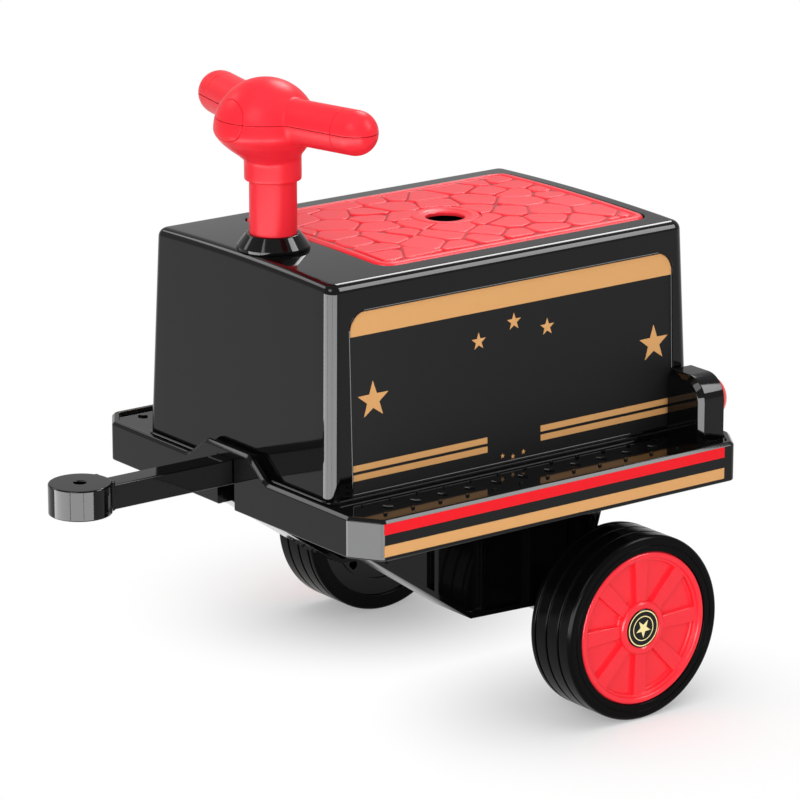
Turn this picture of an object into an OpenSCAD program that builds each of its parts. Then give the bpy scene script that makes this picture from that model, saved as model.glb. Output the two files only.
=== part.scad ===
// Two-wheeled ride-on carriage that is towed behind a ride-on locomotive.
// Millimetres, +Z up, +X towards the tow eye, +Y to the rider's left.
// The origin is on the floor under the middle of the part's box.

/* [Tray] */
// Length of the tray
tray_l = 377; // [365:1:395]
// Width of the tray
tray_w = 366; // [350:1:372]
// Height of the tray's lower edge above the floor
tray_z = 175; // [170:1:190]
// Height of the tray from its lower edge to the top of its lip
tray_h = 32; // [30:0.5:36]
// Wall of the tray
tray_wall = 4; // [3:0.5:5]
// Corner cut of the tray, measured along it
corner_l = 16; // [12:1:22]
// Corner cut of the tray, measured across it
corner_w = 24; // [18:1:28]
// Width of the raised lip
lip_w = 6; // [5:0.5:7]
// Height of the lip above the tread
lip_h = 2.5; // [2:0.5:4]
// Bevel on the lip's outer edge
lip_bevel = 2.4; // [1.4:0.2:4]
// Width of the tow bar hump at its foot
hump_foot_w = 104; // [96:1:110]
// Width of the tow bar hump at its top
hump_top_w = 59; // [50:1:66]
// Height of the hump above the tread
hump_h = 17; // [16:0.5:20]
// Length of a tread lozenge
stud_l = 8; // [6:0.5:10]
// Width of a tread lozenge
stud_w = 3.2; // [2.4:0.2:4]

/* [Body] */
// Length of the body at its foot
body_l = 357; // [350:1:358]
// Width of the body at its foot
body_w = 246; // [240:1:252]
// Height of the body's top edge above the tread
body_h = 169; // [160:1:185]
// How far each wall leans in from foot to top
body_lean = 5.5; // [4:0.5:8]
// Wall of the body
body_wall = 4; // [3:0.5:5]
// Radius of the upright corners
body_r = 9.5; // [8:0.5:14]
// Radius of the top edge
edge_r = 7; // [5:0.5:8]
// Rise of the crowned top over its edges
crown_h = 2.6; // [1.5:0.1:4]
// Length of the sunk side panel
panel_l = 318; // [290:1:322]
// Height of the sunk side panel
panel_h = 145; // [120:1:150]
// How far the panel's middle lies behind the body's middle
panel_back = 2; // [0:0.5:4]
// Depth of the sunk side panel
panel_depth = 1.2; // [0.6:0.2:2]

/* [Seat lid] */
// Length of the lid
lid_l = 262; // [250:1:266]
// Width of the lid
lid_w = 189; // [180:1:196]
// How far the lid's middle lies behind the tray's middle
lid_back = 25; // [22:1:30]
// Corner radius of the lid
lid_r = 12; // [8:1:16]
// Height of the cobbles over the lid's ground
cobble_h = 1.2; // [0.6:0.2:2]
// Diameter of the finger hole
finger_d = 31; // [26:1:36]
// Diameter of the raised ring round the finger hole
finger_ring_d = 55; // [48:1:60]

/* [Storage tub] */
// Depth of the tub below its rim
tub_depth = 132; // [110:1:138]
// Wall of the tub
tub_wall = 2.5; // [2:0.5:3]

/* [Handle] */
// How far the handle post stands ahead of the tray's middle
handle_x = 141.5; // [139:0.5:143]
// Diameter of the post
post_d = 37; // [34:1:40]
// Height of the post's top above the body
post_h = 72; // [66:1:76]
// Diameter of the collar over the post
collar_d = 44.4; // [43:0.2:48]
// Height of the collar's lower edge above the body
collar_z = 56.5; // [50:0.5:60]
// Diameter of the handle's ball
ball_d = 80.4; // [74:0.2:86]
// Height of the ball's middle above the body
ball_z = 96.5; // [92:0.5:110]
// How far the ball's middle lies ahead of the post
ball_ahead = 6.5; // [0:0.5:8]
// Diameter of the grips
grip_d = 35; // [30:0.5:38]
// Sideways reach of a grip, to the middle of its round end
grip_out = 88.7; // [80:0.1:100]
// Backward sweep of a grip over its reach
grip_back = 20; // [10:1:26]
// Height of the grips' axis over the ball's middle
grip_up = 10.4; // [0:0.2:16]
// Diameter of the black base ring at its foot
base_d = 57; // [52:1:60]
// Height of the base ring
base_h = 12; // [9:0.5:15]

/* [Tow bar] */
// Width of the tow bar
bar_w = 20; // [16:1:21]
// Height of the tow bar
bar_h = 20; // [18:1:24]
// Reach of the tow eye's middle ahead of the tray
eye_reach = 134; // [120:1:160]
// Diameter of the tow eye
eye_d = 49; // [44:1:54]
// Height of the tow eye
eye_h = 24; // [22:1:28]
// Diameter of the tow eye's hole
eye_hole_d = 9.8; // [8:0.2:12]

/* [Wheels] */
// Diameter of the wheels over the tread
wheel_d = 150; // [146:1:156]
// Width of the tyre
tyre_w = 49; // [46:1:54]
// Width over the outer faces of both wheels
wheel_span = 388; // [384:1:400]
// Diameter of the red rim
rim_d = 124; // [120:1:128]
// Diameter of the hub
hub_d = 43; // [40:1:46]
// Diameter of the hub badge
badge_d = 31; // [29:0.5:33]
// Number of spokes
spokes = 8; // [6:1:10]
// Height of the spokes over the web
spoke_h = 4; // [2:0.5:5]

/* [Axle and legs] */
// Diameter of the axle
axle_d = 10; // [8:0.5:11]
// How far the axle lies behind the tray's middle
axle_back = 73; // [66:1:80]
// Width over the outer faces of both legs
leg_span = 220; // [214:1:232]
// Width of one leg
leg_w = 48; // [40:1:54]
// Wall of a leg
leg_wall = 4; // [3:0.5:5]
// Radius of the leg's lobe round the axle
lobe_r = 19; // [16:0.5:22]

/* [Rear lamps] */
// Length of a lamp pod along the tray
pod_l = 24; // [18:1:28]
// Height of a lamp pod above the tread
pod_h = 52; // [46:1:60]
// Reach of a lamp pod across the tray, from its middle line
pod_reach = 166; // [160:0.5:168]
// Radius of a lamp pod's shoulder
pod_r = 30; // [24:1:34]
// Diameter of the lens
lens_d = 36; // [30:1:38]
// How far the lens stands out
lens_out = 12; // [8:0.5:13]

/* [Hidden] */

// Colours as the photograph shows them
black_plastic = [0.11, 0.11, 0.12];
tyre_black = [0.06, 0.06, 0.06];
toy_red = [0.93, 0.18, 0.22];
steel = [0.72, 0.73, 0.75];
badge_cream = [0.95, 0.9, 0.6];
nylon = [0.85, 0.85, 0.82];

// Fineness of round shapes: exact ones, and those inside a hull
fine = 64;
hull_fine = 32;

// Shared clearances
over = 1;
sliver = 0.1;
seat_gap = 0.2;
run_gap = 0.3;
fit_gap = 0.05;

// Places
tread_z = tray_z + tray_h - lip_h;
plate_z = tread_z - tray_wall;
tray_front = tray_l / 2;
eye_x = tray_front + eye_reach;
tray_x = -(eye_x + eye_d / 2 - tray_front) / 2;
axle_z = wheel_d / 2;
body_edge_z = tread_z + body_h;
body_top_z = body_edge_z + crown_h;
top_l = body_l - 2 * body_lean;
top_w = body_w - 2 * body_lean;
side_angle = atan(body_lean / body_h);

// Screws
screw_d = 4;
screw_head_d = 8;
screw_head_h = 3;
bolt_d = 6;
bolt_head_d = 11;
bolt_head_h = 4;

module from_tray() {
    translate([tray_x, 0, 0])
        children();
}

module both_sides() {
    for (side = [0, 1])
        mirror([0, side, 0])
            children();
}

module rounded(l, w, r) {
    square([l - 2 * r, w], center = true);
    square([l, w - 2 * r], center = true);
    for (sx = [-1, 1], sy = [-1, 1])
        translate([sx * (l / 2 - r), sy * (w / 2 - r)])
            circle(r = r, $fn = fine);
}

module bar_y(d, y0, y1) {
    translate([0, y0, 0])
        rotate([-90, 0, 0])
            cylinder(d = d, h = y1 - y0, $fn = fine);
}

// A screw that points up, with the underside of its head at zero
module screw_up(d, head_d, head_h, l) {
    translate([0, 0, -head_h])
        cylinder(d = head_d, h = head_h, $fn = fine);
    cylinder(d = d, h = l, $fn = fine);
}

// Tray with lip, tow bar hump and tread lozenges

channel_wall = 3;
channel_side = 1.5;
hump_wall = 5;
hump_l = 128;
bar_in = 118;
stud_h = 1.5;
stud_turn = 45;
stud_pitch = 26;
stud_rows = 3;
stud_margin = 12;
roof_z = tread_z + hump_h - hump_wall;
bar_top_z = roof_z - seat_gap;
bar_z = bar_top_z - bar_h;
bar_end = tray_front - bar_in;
notch_w = bar_w + 2 * channel_side;
tread_in = body_w / 2;
tread_out = tray_w / 2 - lip_w;

function slant(a, b) = sqrt(a * a + b * b);

// Outline of the tray drawn in by a wall, with its corner cuts kept parallel
function tray_points(inset) =
    let (
        m = slant(corner_l, corner_w),
        cl = corner_l - inset * (1 + (corner_l - m) / corner_w),
        cw = corner_w - inset * (1 + (corner_w - m) / corner_l),
        x = tray_l / 2 - inset,
        y = tray_w / 2 - inset
    )
    [[x, y - cw], [x - cl, y], [-x + cl, y], [-x, y - cw], [-x, -y + cw], [-x + cl, -y], [x - cl, -y], [x, -y + cw]];

function hump_points(grow, foot_z, top_z) = [
    [-hump_foot_w / 2 - grow, foot_z],
    [-hump_top_w / 2 - grow, top_z],
    [hump_top_w / 2 + grow, top_z],
    [hump_foot_w / 2 + grow, foot_z]
];

module across(points, x0, x1) {
    translate([x0, 0, 0])
        rotate([90, 0, 90])
            linear_extrude(x1 - x0)
                polygon(points);
}

module tray_shell() {
    difference() {
        union() {
            translate([0, 0, tray_z])
                linear_extrude(tray_h - lip_bevel)
                    polygon(tray_points(0));
            hull() {
                translate([0, 0, tray_z + tray_h - lip_bevel - sliver])
                    linear_extrude(sliver)
                        polygon(tray_points(0));
                translate([0, 0, tray_z + tray_h - sliver])
                    linear_extrude(sliver)
                        polygon(tray_points(lip_bevel));
            }
        }
        translate([0, 0, tread_z])
            linear_extrude(lip_h + over)
                polygon(tray_points(lip_w));
        translate([0, 0, tray_z - over])
            linear_extrude(plate_z - tray_z + over)
                polygon(tray_points(tray_wall));
    }
}

module hump() {
    difference() {
        union() {
            across(hump_points(0, plate_z, tread_z + hump_h), tray_front - hump_l, tray_front - lip_w / 2);
            across(hump_points(0, tread_z, tread_z + hump_h + lip_h), tray_front - lip_w, tray_front);
        }
        across(
            hump_points(-hump_wall, plate_z - over, roof_z),
            tray_front - hump_l + tray_wall,
            tray_front - lip_w
        );
    }
}

module hump_mouth() {
    across(hump_points(-hump_wall, plate_z - over, roof_z), tray_front - hump_l + tray_wall, tray_front - lip_w);
    translate([tray_front - lip_w - over, -notch_w / 2, tray_z - over])
        cube([lip_w + 2 * over, notch_w, roof_z - tray_z + over]);
}

module bar_channel() {
    both_sides()
        translate([bar_end, notch_w / 2, tray_z])
            cube([bar_in - tray_wall, channel_wall, roof_z - tray_z + sliver]);
    translate([bar_end - channel_wall - seat_gap, -notch_w / 2 - channel_wall, tray_z])
        cube([channel_wall, notch_w + 2 * channel_wall, roof_z - tray_z + sliver]);
}

module tread_studs() {
    count = floor((tray_l - 2 * corner_l - 2 * stud_margin) / stud_pitch);
    row_gap = (tread_out - tread_in - stud_margin) / stud_rows;
    both_sides()
        for (row = [0:stud_rows - 1], k = [0:count])
            let (
                x = (k - count / 2 + (row % 2) / 2) * stud_pitch,
                y = tread_in + stud_margin + row * row_gap
            )
            if (x > pod_front + stud_margin && x < tray_front - corner_l - stud_margin)
                translate([x, y, tread_z - sliver])
                    rotate([0, 0, (row % 2 == 0 ? 1 : -1) * stud_turn])
                        linear_extrude(stud_h + sliver)
                            polygon([[stud_l / 2, 0], [0, stud_w / 2], [-stud_l / 2, 0], [0, -stud_w / 2]]);
}

module tray() {
    color(black_plastic)
        from_tray() {
            difference() {
                union() {
                    difference() {
                        union() {
                            tray_shell();
                            hump();
                        }
                        hump_mouth();
                    }
                    bar_channel();
                    tread_studs();
                }
                screw_ways(body_screw_places, screw_d + 2 * fit_gap);
                screw_ways(leg_screw_places, screw_d + 2 * fit_gap);
                screw_ways(pod_screw_places, screw_d + 2 * fit_gap);
                for (x = bar_bolt_x)
                    translate([x, 0, tray_z])
                        cylinder(d = bolt_d + 2 * fit_gap, h = tray_h + hump_h, $fn = fine);
            }
        }
}

module screw_ways(places, d) {
    for (p = places)
        translate([p[0], p[1], tray_z])
            cylinder(d = d, h = tray_h, $fn = fine);
}

// Body shell with sunk side panels, lid recess and handle socket

flange_t = 2.3;
flange_out = 1.5;
flange_end_out = 1.5;
panel_r = 16;
panel_foot = flange_t + sliver;
lid_gap = 1.2;
lid_proud = 1;
lid_t = 6.5;
ledge_w = 10;
pan_wall = 3;
rim_t = 2.2;
boss_d = 11;
boss_h = 26;
socket_wall = 5;
socket_drop = 44;
mouth_gap = 0.4;
mouth_l = 24;
boss_inset = 4.5;
rear_boss_share = 0.33;
lid_top_z = body_top_z + lid_proud;
lid_foot_z = body_edge_z + lid_proud - lid_t;
ledge_z = lid_foot_z - seat_gap - rim_t;
pocket_l = lid_l + 2 * lid_gap;
pocket_w = lid_w + 2 * lid_gap;
pocket_r = lid_r + lid_gap;
mouth_w = pocket_w - 2 * ledge_w;
mouth_long = pocket_l - 2 * ledge_w;
socket_z = body_edge_z - socket_drop;
boss_x = body_l / 2 - body_wall - boss_inset;
boss_y = body_w / 2 - body_wall - boss_inset;
body_screw_places = [
    for (sx = [-1, 1], sy = [-1, 1]) [sx * boss_x, sy * boss_y],
    for (sy = [-1, 1]) [-boss_x, sy * boss_y * rear_boss_share]
];

function crown_at(share) = crown_h * (1 - share * share);

// Rounded block that leans in towards a crowned top
module body_block(inset, r, edge, foot_z, top_z) {
    hull() {
        for (sx = [-1, 1], sy = [-1, 1])
            translate([sx * (body_l / 2 - inset - r), sy * (body_w / 2 - inset - r), foot_z])
                cylinder(r = r, h = sliver, $fn = hull_fine);
        for (sx = [-1, 1], share = [-1, -0.5, 0, 0.5, 1])
            translate([
                sx * (top_l / 2 - inset - r),
                share * (top_w / 2 - inset - r),
                top_z - edge + crown_at(share)
            ])
                rotate_extrude($fn = hull_fine)
                    intersection() {
                        translate([r - edge, 0])
                            circle(r = edge, $fn = hull_fine);
                        square([r, edge]);
                    }
    }
}

module panel_shape() {
    translate([-panel_l / 2, panel_foot])
        square([panel_l, panel_h - panel_r]);
    translate([-panel_l / 2 + panel_r, panel_foot])
        square([panel_l - 2 * panel_r, panel_h]);
    for (s = [-1, 1])
        translate([s * (panel_l / 2 - panel_r), panel_foot + panel_h - panel_r])
            circle(r = panel_r, $fn = fine);
}

module side_panels() {
    both_sides()
        translate([-panel_back, body_w / 2, tread_z])
            rotate([90 + side_angle, 0, 0])
                translate([0, 0, -flange_out - over])
                    linear_extrude(panel_depth + flange_out + over)
                        panel_shape();
}

module lid_pan() {
    translate([-lid_back, 0, ledge_z - pan_wall])
        linear_extrude(body_edge_z - ledge_z + pan_wall)
            rounded(pocket_l + 2 * pan_wall, pocket_w + 2 * pan_wall, pocket_r + pan_wall);
}

module lid_pocket() {
    translate([-lid_back, 0, ledge_z])
        linear_extrude(body_top_z + over - ledge_z)
            rounded(pocket_l, pocket_w, pocket_r);
    translate([-lid_back, 0, ledge_z - pan_wall - over])
        linear_extrude(pan_wall + 2 * over)
            rounded(mouth_long, mouth_w, lid_r);
}

module body_shell() {
    color(black_plastic)
        from_tray()
            difference() {
                union() {
                    difference() {
                        union() {
                            body_block(0, body_r, edge_r, tread_z, body_edge_z);
                            translate([0, 0, tread_z])
                                linear_extrude(flange_t)
                                    rounded(
                                        body_l + 2 * flange_end_out,
                                        body_w + 2 * flange_out,
                                        body_r + flange_end_out
                                    );
                        }
                        body_block(
                            body_wall,
                            body_r - body_wall,
                            body_r - body_wall,
                            tread_z - over,
                            body_edge_z - body_wall
                        );
                        side_panels();
                    }
                    lid_pan();
                    translate([handle_x, 0, socket_z])
                        cylinder(d = post_d + 2 * socket_wall, h = socket_drop, $fn = fine);
                    for (p = body_screw_places)
                        translate([p[0], p[1], tread_z])
                            cylinder(d = boss_d, h = boss_h, $fn = fine);
                }
                lid_pocket();
                translate([handle_x, 0, socket_z - over])
                    cylinder(d = post_d + 2 * seat_gap, h = socket_drop + crown_h + 2 * over, $fn = fine);
                translate([handle_x, 0, post_bolt_z])
                    bar_y(bolt_d + 2 * fit_gap, -post_d, post_d);
                for (p = body_screw_places)
                    translate([p[0], p[1], tread_z - over])
                        cylinder(d = screw_d + 2 * fit_gap, h = body_screw_l, $fn = fine);
                across(
                    hump_points(mouth_gap, tread_z - over, tread_z + hump_h + mouth_gap),
                    body_l / 2 - mouth_l,
                    body_l / 2 + flange_end_out + over
                );
            }
}

// Storage tub that hangs in the lid recess

tub_gap = 0.4;
tub_l = mouth_long - 2 * tub_gap;
tub_w = mouth_w - 2 * tub_gap;

module storage_tub() {
    color(black_plastic)
        from_tray()
            translate([-lid_back, 0, 0])
                difference() {
                    union() {
                        translate([0, 0, ledge_z])
                            linear_extrude(rim_t)
                                rounded(pocket_l - 2 * tub_gap, pocket_w - 2 * tub_gap, pocket_r - tub_gap);
                        translate([0, 0, ledge_z - tub_depth])
                            linear_extrude(tub_depth + sliver)
                                rounded(tub_l, tub_w, lid_r - tub_gap);
                    }
                    translate([0, 0, ledge_z - tub_depth + tub_wall])
                        linear_extrude(tub_depth + rim_t)
                            rounded(tub_l - 2 * tub_wall, tub_w - 2 * tub_wall, lid_r - tub_gap - tub_wall);
                }
}

// Seat lid with raised border, cobbles and a ringed finger hole

cobble_l = 34;
cobble_w = 26;
cobble_gap = 1.8;
cobble_shift_share = 0.8;
border_w = 7;
border_gap = 2;
ring_gap = 1.6;
finger_lip = 4.5;
skirt_h = 8;
skirt_t = 2.5;
skirt_gap = 1;
crown_steps = 12;
crown_r = (top_w * top_w / 4 + crown_h * crown_h) / (2 * crown_h);
scatter = [127.1, 311.7, 74.7, 43758.5];

// Repeatable scatter between minus one half and plus one half
function scattered(a, b, c) =
    let (v = sin(a * scatter[0] + b * scatter[1] + c * scatter[2]) * scatter[3])
    v - floor(v) - 0.5;

// Middle of a cobble, in rows that are shifted by half a cobble and then scattered
function seed(i, j) = [
    (i + abs(j % 2) / 2 + cobble_shift_share * scattered(i, j, 1)) * cobble_l,
    (j + cobble_shift_share * scattered(i, j, 2)) * cobble_w
];

// Part of an outline on the near side of a line through a point
function near_side(points, on, away) = [
    for (k = [0:len(points) - 1])
        let (
            a = points[k],
            b = points[(k + 1) % len(points)],
            da = (a - on) * away,
            db = (b - on) * away
        )
        each concat(da <= 0 ? [a] : [], da * db < 0 ? [a + (b - a) * da / (da - db)] : [])
];

// Ground nearer to one cobble's middle than to the others, less half the gap
function cobble(points, p, others, k = 0) =
    k == len(others)
        ? points
        : let (d = others[k] - p)
          cobble(near_side(points, p + d * (1 / 2 - cobble_gap / 2 / norm(d)), d), p, others, k + 1);

module cobbles() {
    along = ceil(lid_l / cobble_l / 2) + 1;
    beside = ceil(lid_w / cobble_w / 2) + 1;
    wide = [[1, 1], [-1, 1], [-1, -1], [1, -1]];
    for (j = [-beside:beside], i = [-along:along])
        let (
            p = seed(i, j),
            others = [for (b = [-2:2], a = [-2:2]) if (a != 0 || b != 0) seed(i + a, j + b)]
        )
        polygon(cobble([for (w = wide) p + [w[0] * cobble_l, w[1] * cobble_w] * 2], p, others));
}

module lid_relief() {
    difference() {
        rounded(lid_l, lid_w, lid_r);
        rounded(lid_l - 2 * border_w, lid_w - 2 * border_w, lid_r - border_w / 2);
    }
    difference() {
        intersection() {
            cobbles();
            rounded(
                lid_l - 2 * border_w - 2 * border_gap,
                lid_w - 2 * border_w - 2 * border_gap,
                lid_r - border_w / 2
            );
        }
        circle(d = finger_ring_d + 2 * ring_gap, $fn = fine);
    }
    difference() {
        circle(d = finger_ring_d, $fn = fine);
        circle(d = finger_d + 2 * finger_lip, $fn = fine);
    }
}

// Long block whose top follows the crown of the seat
module crown(top_z) {
    half = lid_w / 2 + over;
    top = [for (k = [0:crown_steps]) let (y = half * (2 * k / crown_steps - 1)) [y, top_z - y * y / (2 * crown_r)]];
    across(concat(top, [[half, lid_foot_z - over], [-half, lid_foot_z - over]]), -lid_l / 2 - over, lid_l / 2 + over);
}

module seat_lid() {
    color(toy_red)
        from_tray()
            translate([-lid_back, 0, 0])
                difference() {
                    union() {
                        intersection() {
                            translate([0, 0, lid_foot_z])
                                linear_extrude(lid_t + crown_h)
                                    rounded(lid_l, lid_w, lid_r);
                            crown(lid_top_z - cobble_h);
                        }
                        intersection() {
                            translate([0, 0, lid_foot_z + lid_t / 2])
                                linear_extrude(lid_t + crown_h)
                                    lid_relief();
                            crown(lid_top_z);
                        }
                        difference() {
                            translate([0, 0, lid_foot_z - skirt_h])
                                linear_extrude(skirt_h + sliver)
                                    rounded(
                                        tub_l - 2 * tub_wall - 2 * skirt_gap,
                                        tub_w - 2 * tub_wall - 2 * skirt_gap,
                                        lid_r - tub_wall - skirt_gap
                                    );
                            translate([0, 0, lid_foot_z - skirt_h - over])
                                linear_extrude(skirt_h + over)
                                    rounded(
                                        tub_l - 2 * tub_wall - 2 * skirt_gap - 2 * skirt_t,
                                        tub_w - 2 * tub_wall - 2 * skirt_gap - 2 * skirt_t,
                                        lid_r - tub_wall - skirt_gap - skirt_t
                                    );
                        }
                    }
                    translate([0, 0, lid_foot_z - over])
                        cylinder(d = finger_d, h = lid_t + crown_h + 2 * over, $fn = fine);
                }
}

// Tow bar with its eye, and the bolts that hold it under the hump

neck_l = 5;
neck_w = 26;
neck_in = 3;
bolt_share = [0.22, 0.78];
nut_h = 5;
nut_d = 12;
bar_bolt_x = [for (share = bolt_share) bar_end + share * bar_in];

module tow_bar() {
    color(black_plastic)
        from_tray()
            difference() {
                union() {
                    translate([bar_end, -bar_w / 2, bar_z])
                        cube([eye_x - bar_end, bar_w, bar_h]);
                    translate([eye_x, 0, bar_z])
                        cylinder(d = eye_d, h = eye_h, $fn = fine);
                    translate([eye_x - eye_d / 2 - neck_l / 2 + neck_in, -neck_w / 2, bar_z])
                        cube([neck_l, neck_w, eye_h]);
                }
                translate([eye_x, 0, bar_z - over])
                    cylinder(d = eye_hole_d, h = eye_h + 2 * over, $fn = fine);
                for (x = bar_bolt_x)
                    translate([x, 0, bar_z - over])
                        cylinder(d = bolt_d + 2 * fit_gap, h = bar_h + 2 * over, $fn = fine);
            }
}

module tow_bar_bolts() {
    color(steel)
        from_tray()
            for (x = bar_bolt_x)
                translate([x, 0, bar_z]) {
                    screw_up(bolt_d, bolt_head_d, bolt_head_h, tread_z + hump_h + nut_h - bar_z + over);
                    translate([0, 0, tread_z + hump_h - bar_z])
                        cylinder(d = nut_d, h = nut_h, $fn = 6);
                }
}

// Handle: base ring, post, and a head of two shells

base_top_d = 42.5;
base_rim_h = 2.5;
post_wall = 5;
post_foot = 6;
post_bolt_drop = 26;
seam_gap = 0.2;
groove_w = 0.8;
groove_depth = 0.8;
front_ring_d = 36;
grip_ring_back = 11;
taper_shares = [[0, 0.994], [0.25, 0.985], [0.5, 0.962], [0.75, 0.924], [1, 0.868], [1.25, 0.77], [1.42, 0.64]];
head_screw_l = 19;
head_screw_deep = 10;
grip_screw_share = 0.62;
post_top_z = body_edge_z + post_h;
post_foot_z = socket_z + post_foot;
post_bolt_z = body_edge_z - post_bolt_drop;
collar_foot_z = body_edge_z + collar_z;
ball_x = handle_x + ball_ahead;
ball_mid_z = body_edge_z + ball_z;
collar_top_z = post_top_z + post_wall;
seam_z = ball_mid_z + grip_up;
grip_l = slant(grip_out, grip_back);
head_screw_places = [
    for (sy = [-1, 1]) [ball_x - grip_back * grip_screw_share, sy * grip_out * grip_screw_share]
];

module handle_base() {
    color(black_plastic)
        from_tray()
            translate([handle_x, 0, body_top_z])
                rotate_extrude($fn = fine)
                    polygon([
                        [post_d / 2 + seat_gap, 0], [base_d / 2, 0], [base_d / 2, base_rim_h],
                        [base_top_d / 2, base_h], [post_d / 2 + seat_gap, base_h]
                    ]);
}

module handle_post() {
    color(toy_red)
        from_tray()
            translate([handle_x, 0, 0])
                difference() {
                    translate([0, 0, post_foot_z])
                        cylinder(d = post_d, h = post_top_z - post_foot_z, $fn = fine);
                    translate([0, 0, post_foot_z - over])
                        cylinder(d = post_d - 2 * post_wall, h = post_top_z - post_foot_z - post_wall + over, $fn = fine);
                    translate([0, 0, post_bolt_z])
                        bar_y(bolt_d + 2 * fit_gap, -post_d, post_d);
                }
}

module post_bolt() {
    reach = post_d / 2 + socket_wall;
    color(steel)
        from_tray()
            translate([handle_x, 0, post_bolt_z]) {
                bar_y(bolt_d, -reach - bolt_head_h, reach + bolt_head_h + over);
                bar_y(bolt_head_d, -reach - bolt_head_h, -reach);
                translate([0, reach, 0])
                    rotate([-90, 0, 0])
                        cylinder(d = nut_d, h = bolt_head_h, $fn = 6);
            }
}

// Turns a shape that stands on Z so that it lies along a grip
module along_grip() {
    translate([ball_x, 0, seam_z])
        rotate([0, 90, atan2(grip_out, -grip_back)])
            children();
}

module grips() {
    both_sides()
        along_grip() {
            cylinder(d = grip_d, h = grip_l, $fn = fine);
            translate([0, 0, grip_l])
                sphere(d = grip_d, $fn = fine);
        }
}

module ring_cut(d, l) {
    difference() {
        cylinder(d = d + 2 * groove_depth, h = l, $fn = fine);
        translate([0, 0, -over])
            cylinder(d = d - 2 * groove_depth, h = l + 2 * over, $fn = fine);
    }
}

module head_grooves() {
    both_sides()
        along_grip()
            translate([0, 0, grip_l - grip_ring_back])
                ring_cut(grip_d, groove_w);
    difference() {
        translate([ball_x, 0, seam_z])
            rotate([0, 90, 0])
                difference() {
                    cylinder(d = front_ring_d + 2 * groove_w, h = ball_d, $fn = fine);
                    translate([0, 0, -over])
                        cylinder(d = front_ring_d, h = ball_d + 2 * over, $fn = fine);
                }
        translate([ball_x, 0, ball_mid_z])
            sphere(d = ball_d - 2 * groove_depth, $fn = fine);
    }
}

// Space above (1) or below (-1) the seam
module seam_side(way) {
    reach = 2 * grip_out;
    translate([ball_x - reach, -reach, seam_z + way * seam_gap / 2 - (way > 0 ? 0 : reach)])
        cube([2 * reach, 2 * reach, reach]);
}

module head_screw_ways(d, z0, z1) {
    for (p = head_screw_places)
        translate([p[0], p[1], seam_z + z0])
            cylinder(d = d, h = z1 - z0, $fn = fine);
}

module handle_upper_shell() {
    color(toy_red)
        from_tray()
            difference() {
                intersection() {
                    union() {
                        translate([ball_x, 0, ball_mid_z])
                            sphere(d = ball_d, $fn = fine);
                        grips();
                    }
                    seam_side(1);
                }
                head_grooves();
                head_screw_ways(screw_d + 2 * fit_gap, -over, head_screw_deep);
            }
}

module head_taper() {
    drop = ball_mid_z - collar_top_z;
    hull() {
        for (s = taper_shares)
            translate([ball_x - ball_ahead * min(s[0], 1), 0, ball_mid_z - drop * s[0]])
                cylinder(d = ball_d * s[1], h = sliver, $fn = hull_fine);
    }
}

module handle_lower_shell() {
    color(toy_red)
        from_tray()
            difference() {
                union() {
                    intersection() {
                        grips();
                        seam_side(-1);
                    }
                    head_taper();
                    intersection() {
                        translate([ball_x, 0, ball_mid_z])
                            sphere(d = ball_d, $fn = fine);
                        translate([ball_x - ball_d, -ball_d, ball_mid_z])
                            cube([2 * ball_d, 2 * ball_d, grip_up - seam_gap / 2]);
                    }
                    translate([handle_x, 0, collar_foot_z])
                        cylinder(d = collar_d, h = collar_top_z - collar_foot_z + over, $fn = fine);
                }
                translate([handle_x, 0, collar_foot_z - over])
                    cylinder(d = post_d + 2 * fit_gap, h = post_top_z - collar_foot_z + over + seat_gap, $fn = fine);
                head_grooves();
                head_screw_ways(screw_d + 2 * fit_gap, -ball_d, over);
                head_screw_ways(screw_head_d + 2 * seat_gap, -ball_d, head_screw_deep - head_screw_l);
            }
}

module handle_screws() {
    color(steel)
        from_tray()
            for (p = head_screw_places)
                translate([p[0], p[1], seam_z + head_screw_deep - head_screw_l])
                    screw_up(screw_d, screw_head_d, screw_head_h, head_screw_l - seat_gap);
}

// Legs that carry the axle under the tray

leg_front_up = 170;
leg_front_in = 1.5;
leg_front_low = 33;
leg_front_z = 82;
leg_rear_low = 52;
leg_rear_z = 79;
leg_rear_up = 114;
leg_recess = 5;
leg_rib_t = 4;
leg_rib_share = [0.14, 0.3, 0.468, 0.63, 0.79];
leg_screw_share = [0.39, 0.555];
boss_wall = 5;
hub_in = 14.5;
washer_t = 1.2;
leg_flange_t = 5;
leg_boss_end = wheel_span / 2 - tyre_w - hub_in - washer_t - 2 * run_gap;
leg_l = leg_front_up + leg_rear_up;
leg_screw_x = [for (share = leg_screw_share) share * leg_l - leg_rear_up];
leg_screw_y = leg_span / 2 - leg_w / 2;
leg_screw_places = [for (x = leg_screw_x, sy = [-1, 1]) [x, sy * leg_screw_y]];

// Side outline of a leg, front to back, from the tray down to the axle
leg_points = [
    [leg_front_up, plate_z], [leg_front_up, tray_z + leg_front_in], [leg_front_low, leg_front_z],
    [-leg_rear_low, leg_rear_z], [-axle_back - lobe_r / 2, axle_z + lobe_r], [-leg_rear_up, plate_z]
];

function line_shift(p, q, t) = let (d = q - p, n = [-d[1], d[0]] / norm(d)) [p - n * t, q - n * t];

function crossing(a, b) =
    let (
        d = a[1] - a[0],
        e = b[1] - b[0],
        w = b[0] - a[0],
        s = (w[0] * e[1] - w[1] * e[0]) / (d[0] * e[1] - d[1] * e[0])
    )
    a[0] + s * d;

// Outline drawn in by a wall on every side
function drawn_in(points, t) =
    let (n = len(points))
    [
        for (k = [0:n - 1])
            crossing(
                line_shift(points[(k + n - 1) % n], points[k], t),
                line_shift(points[k], points[(k + 1) % n], t)
            )
    ];

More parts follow.
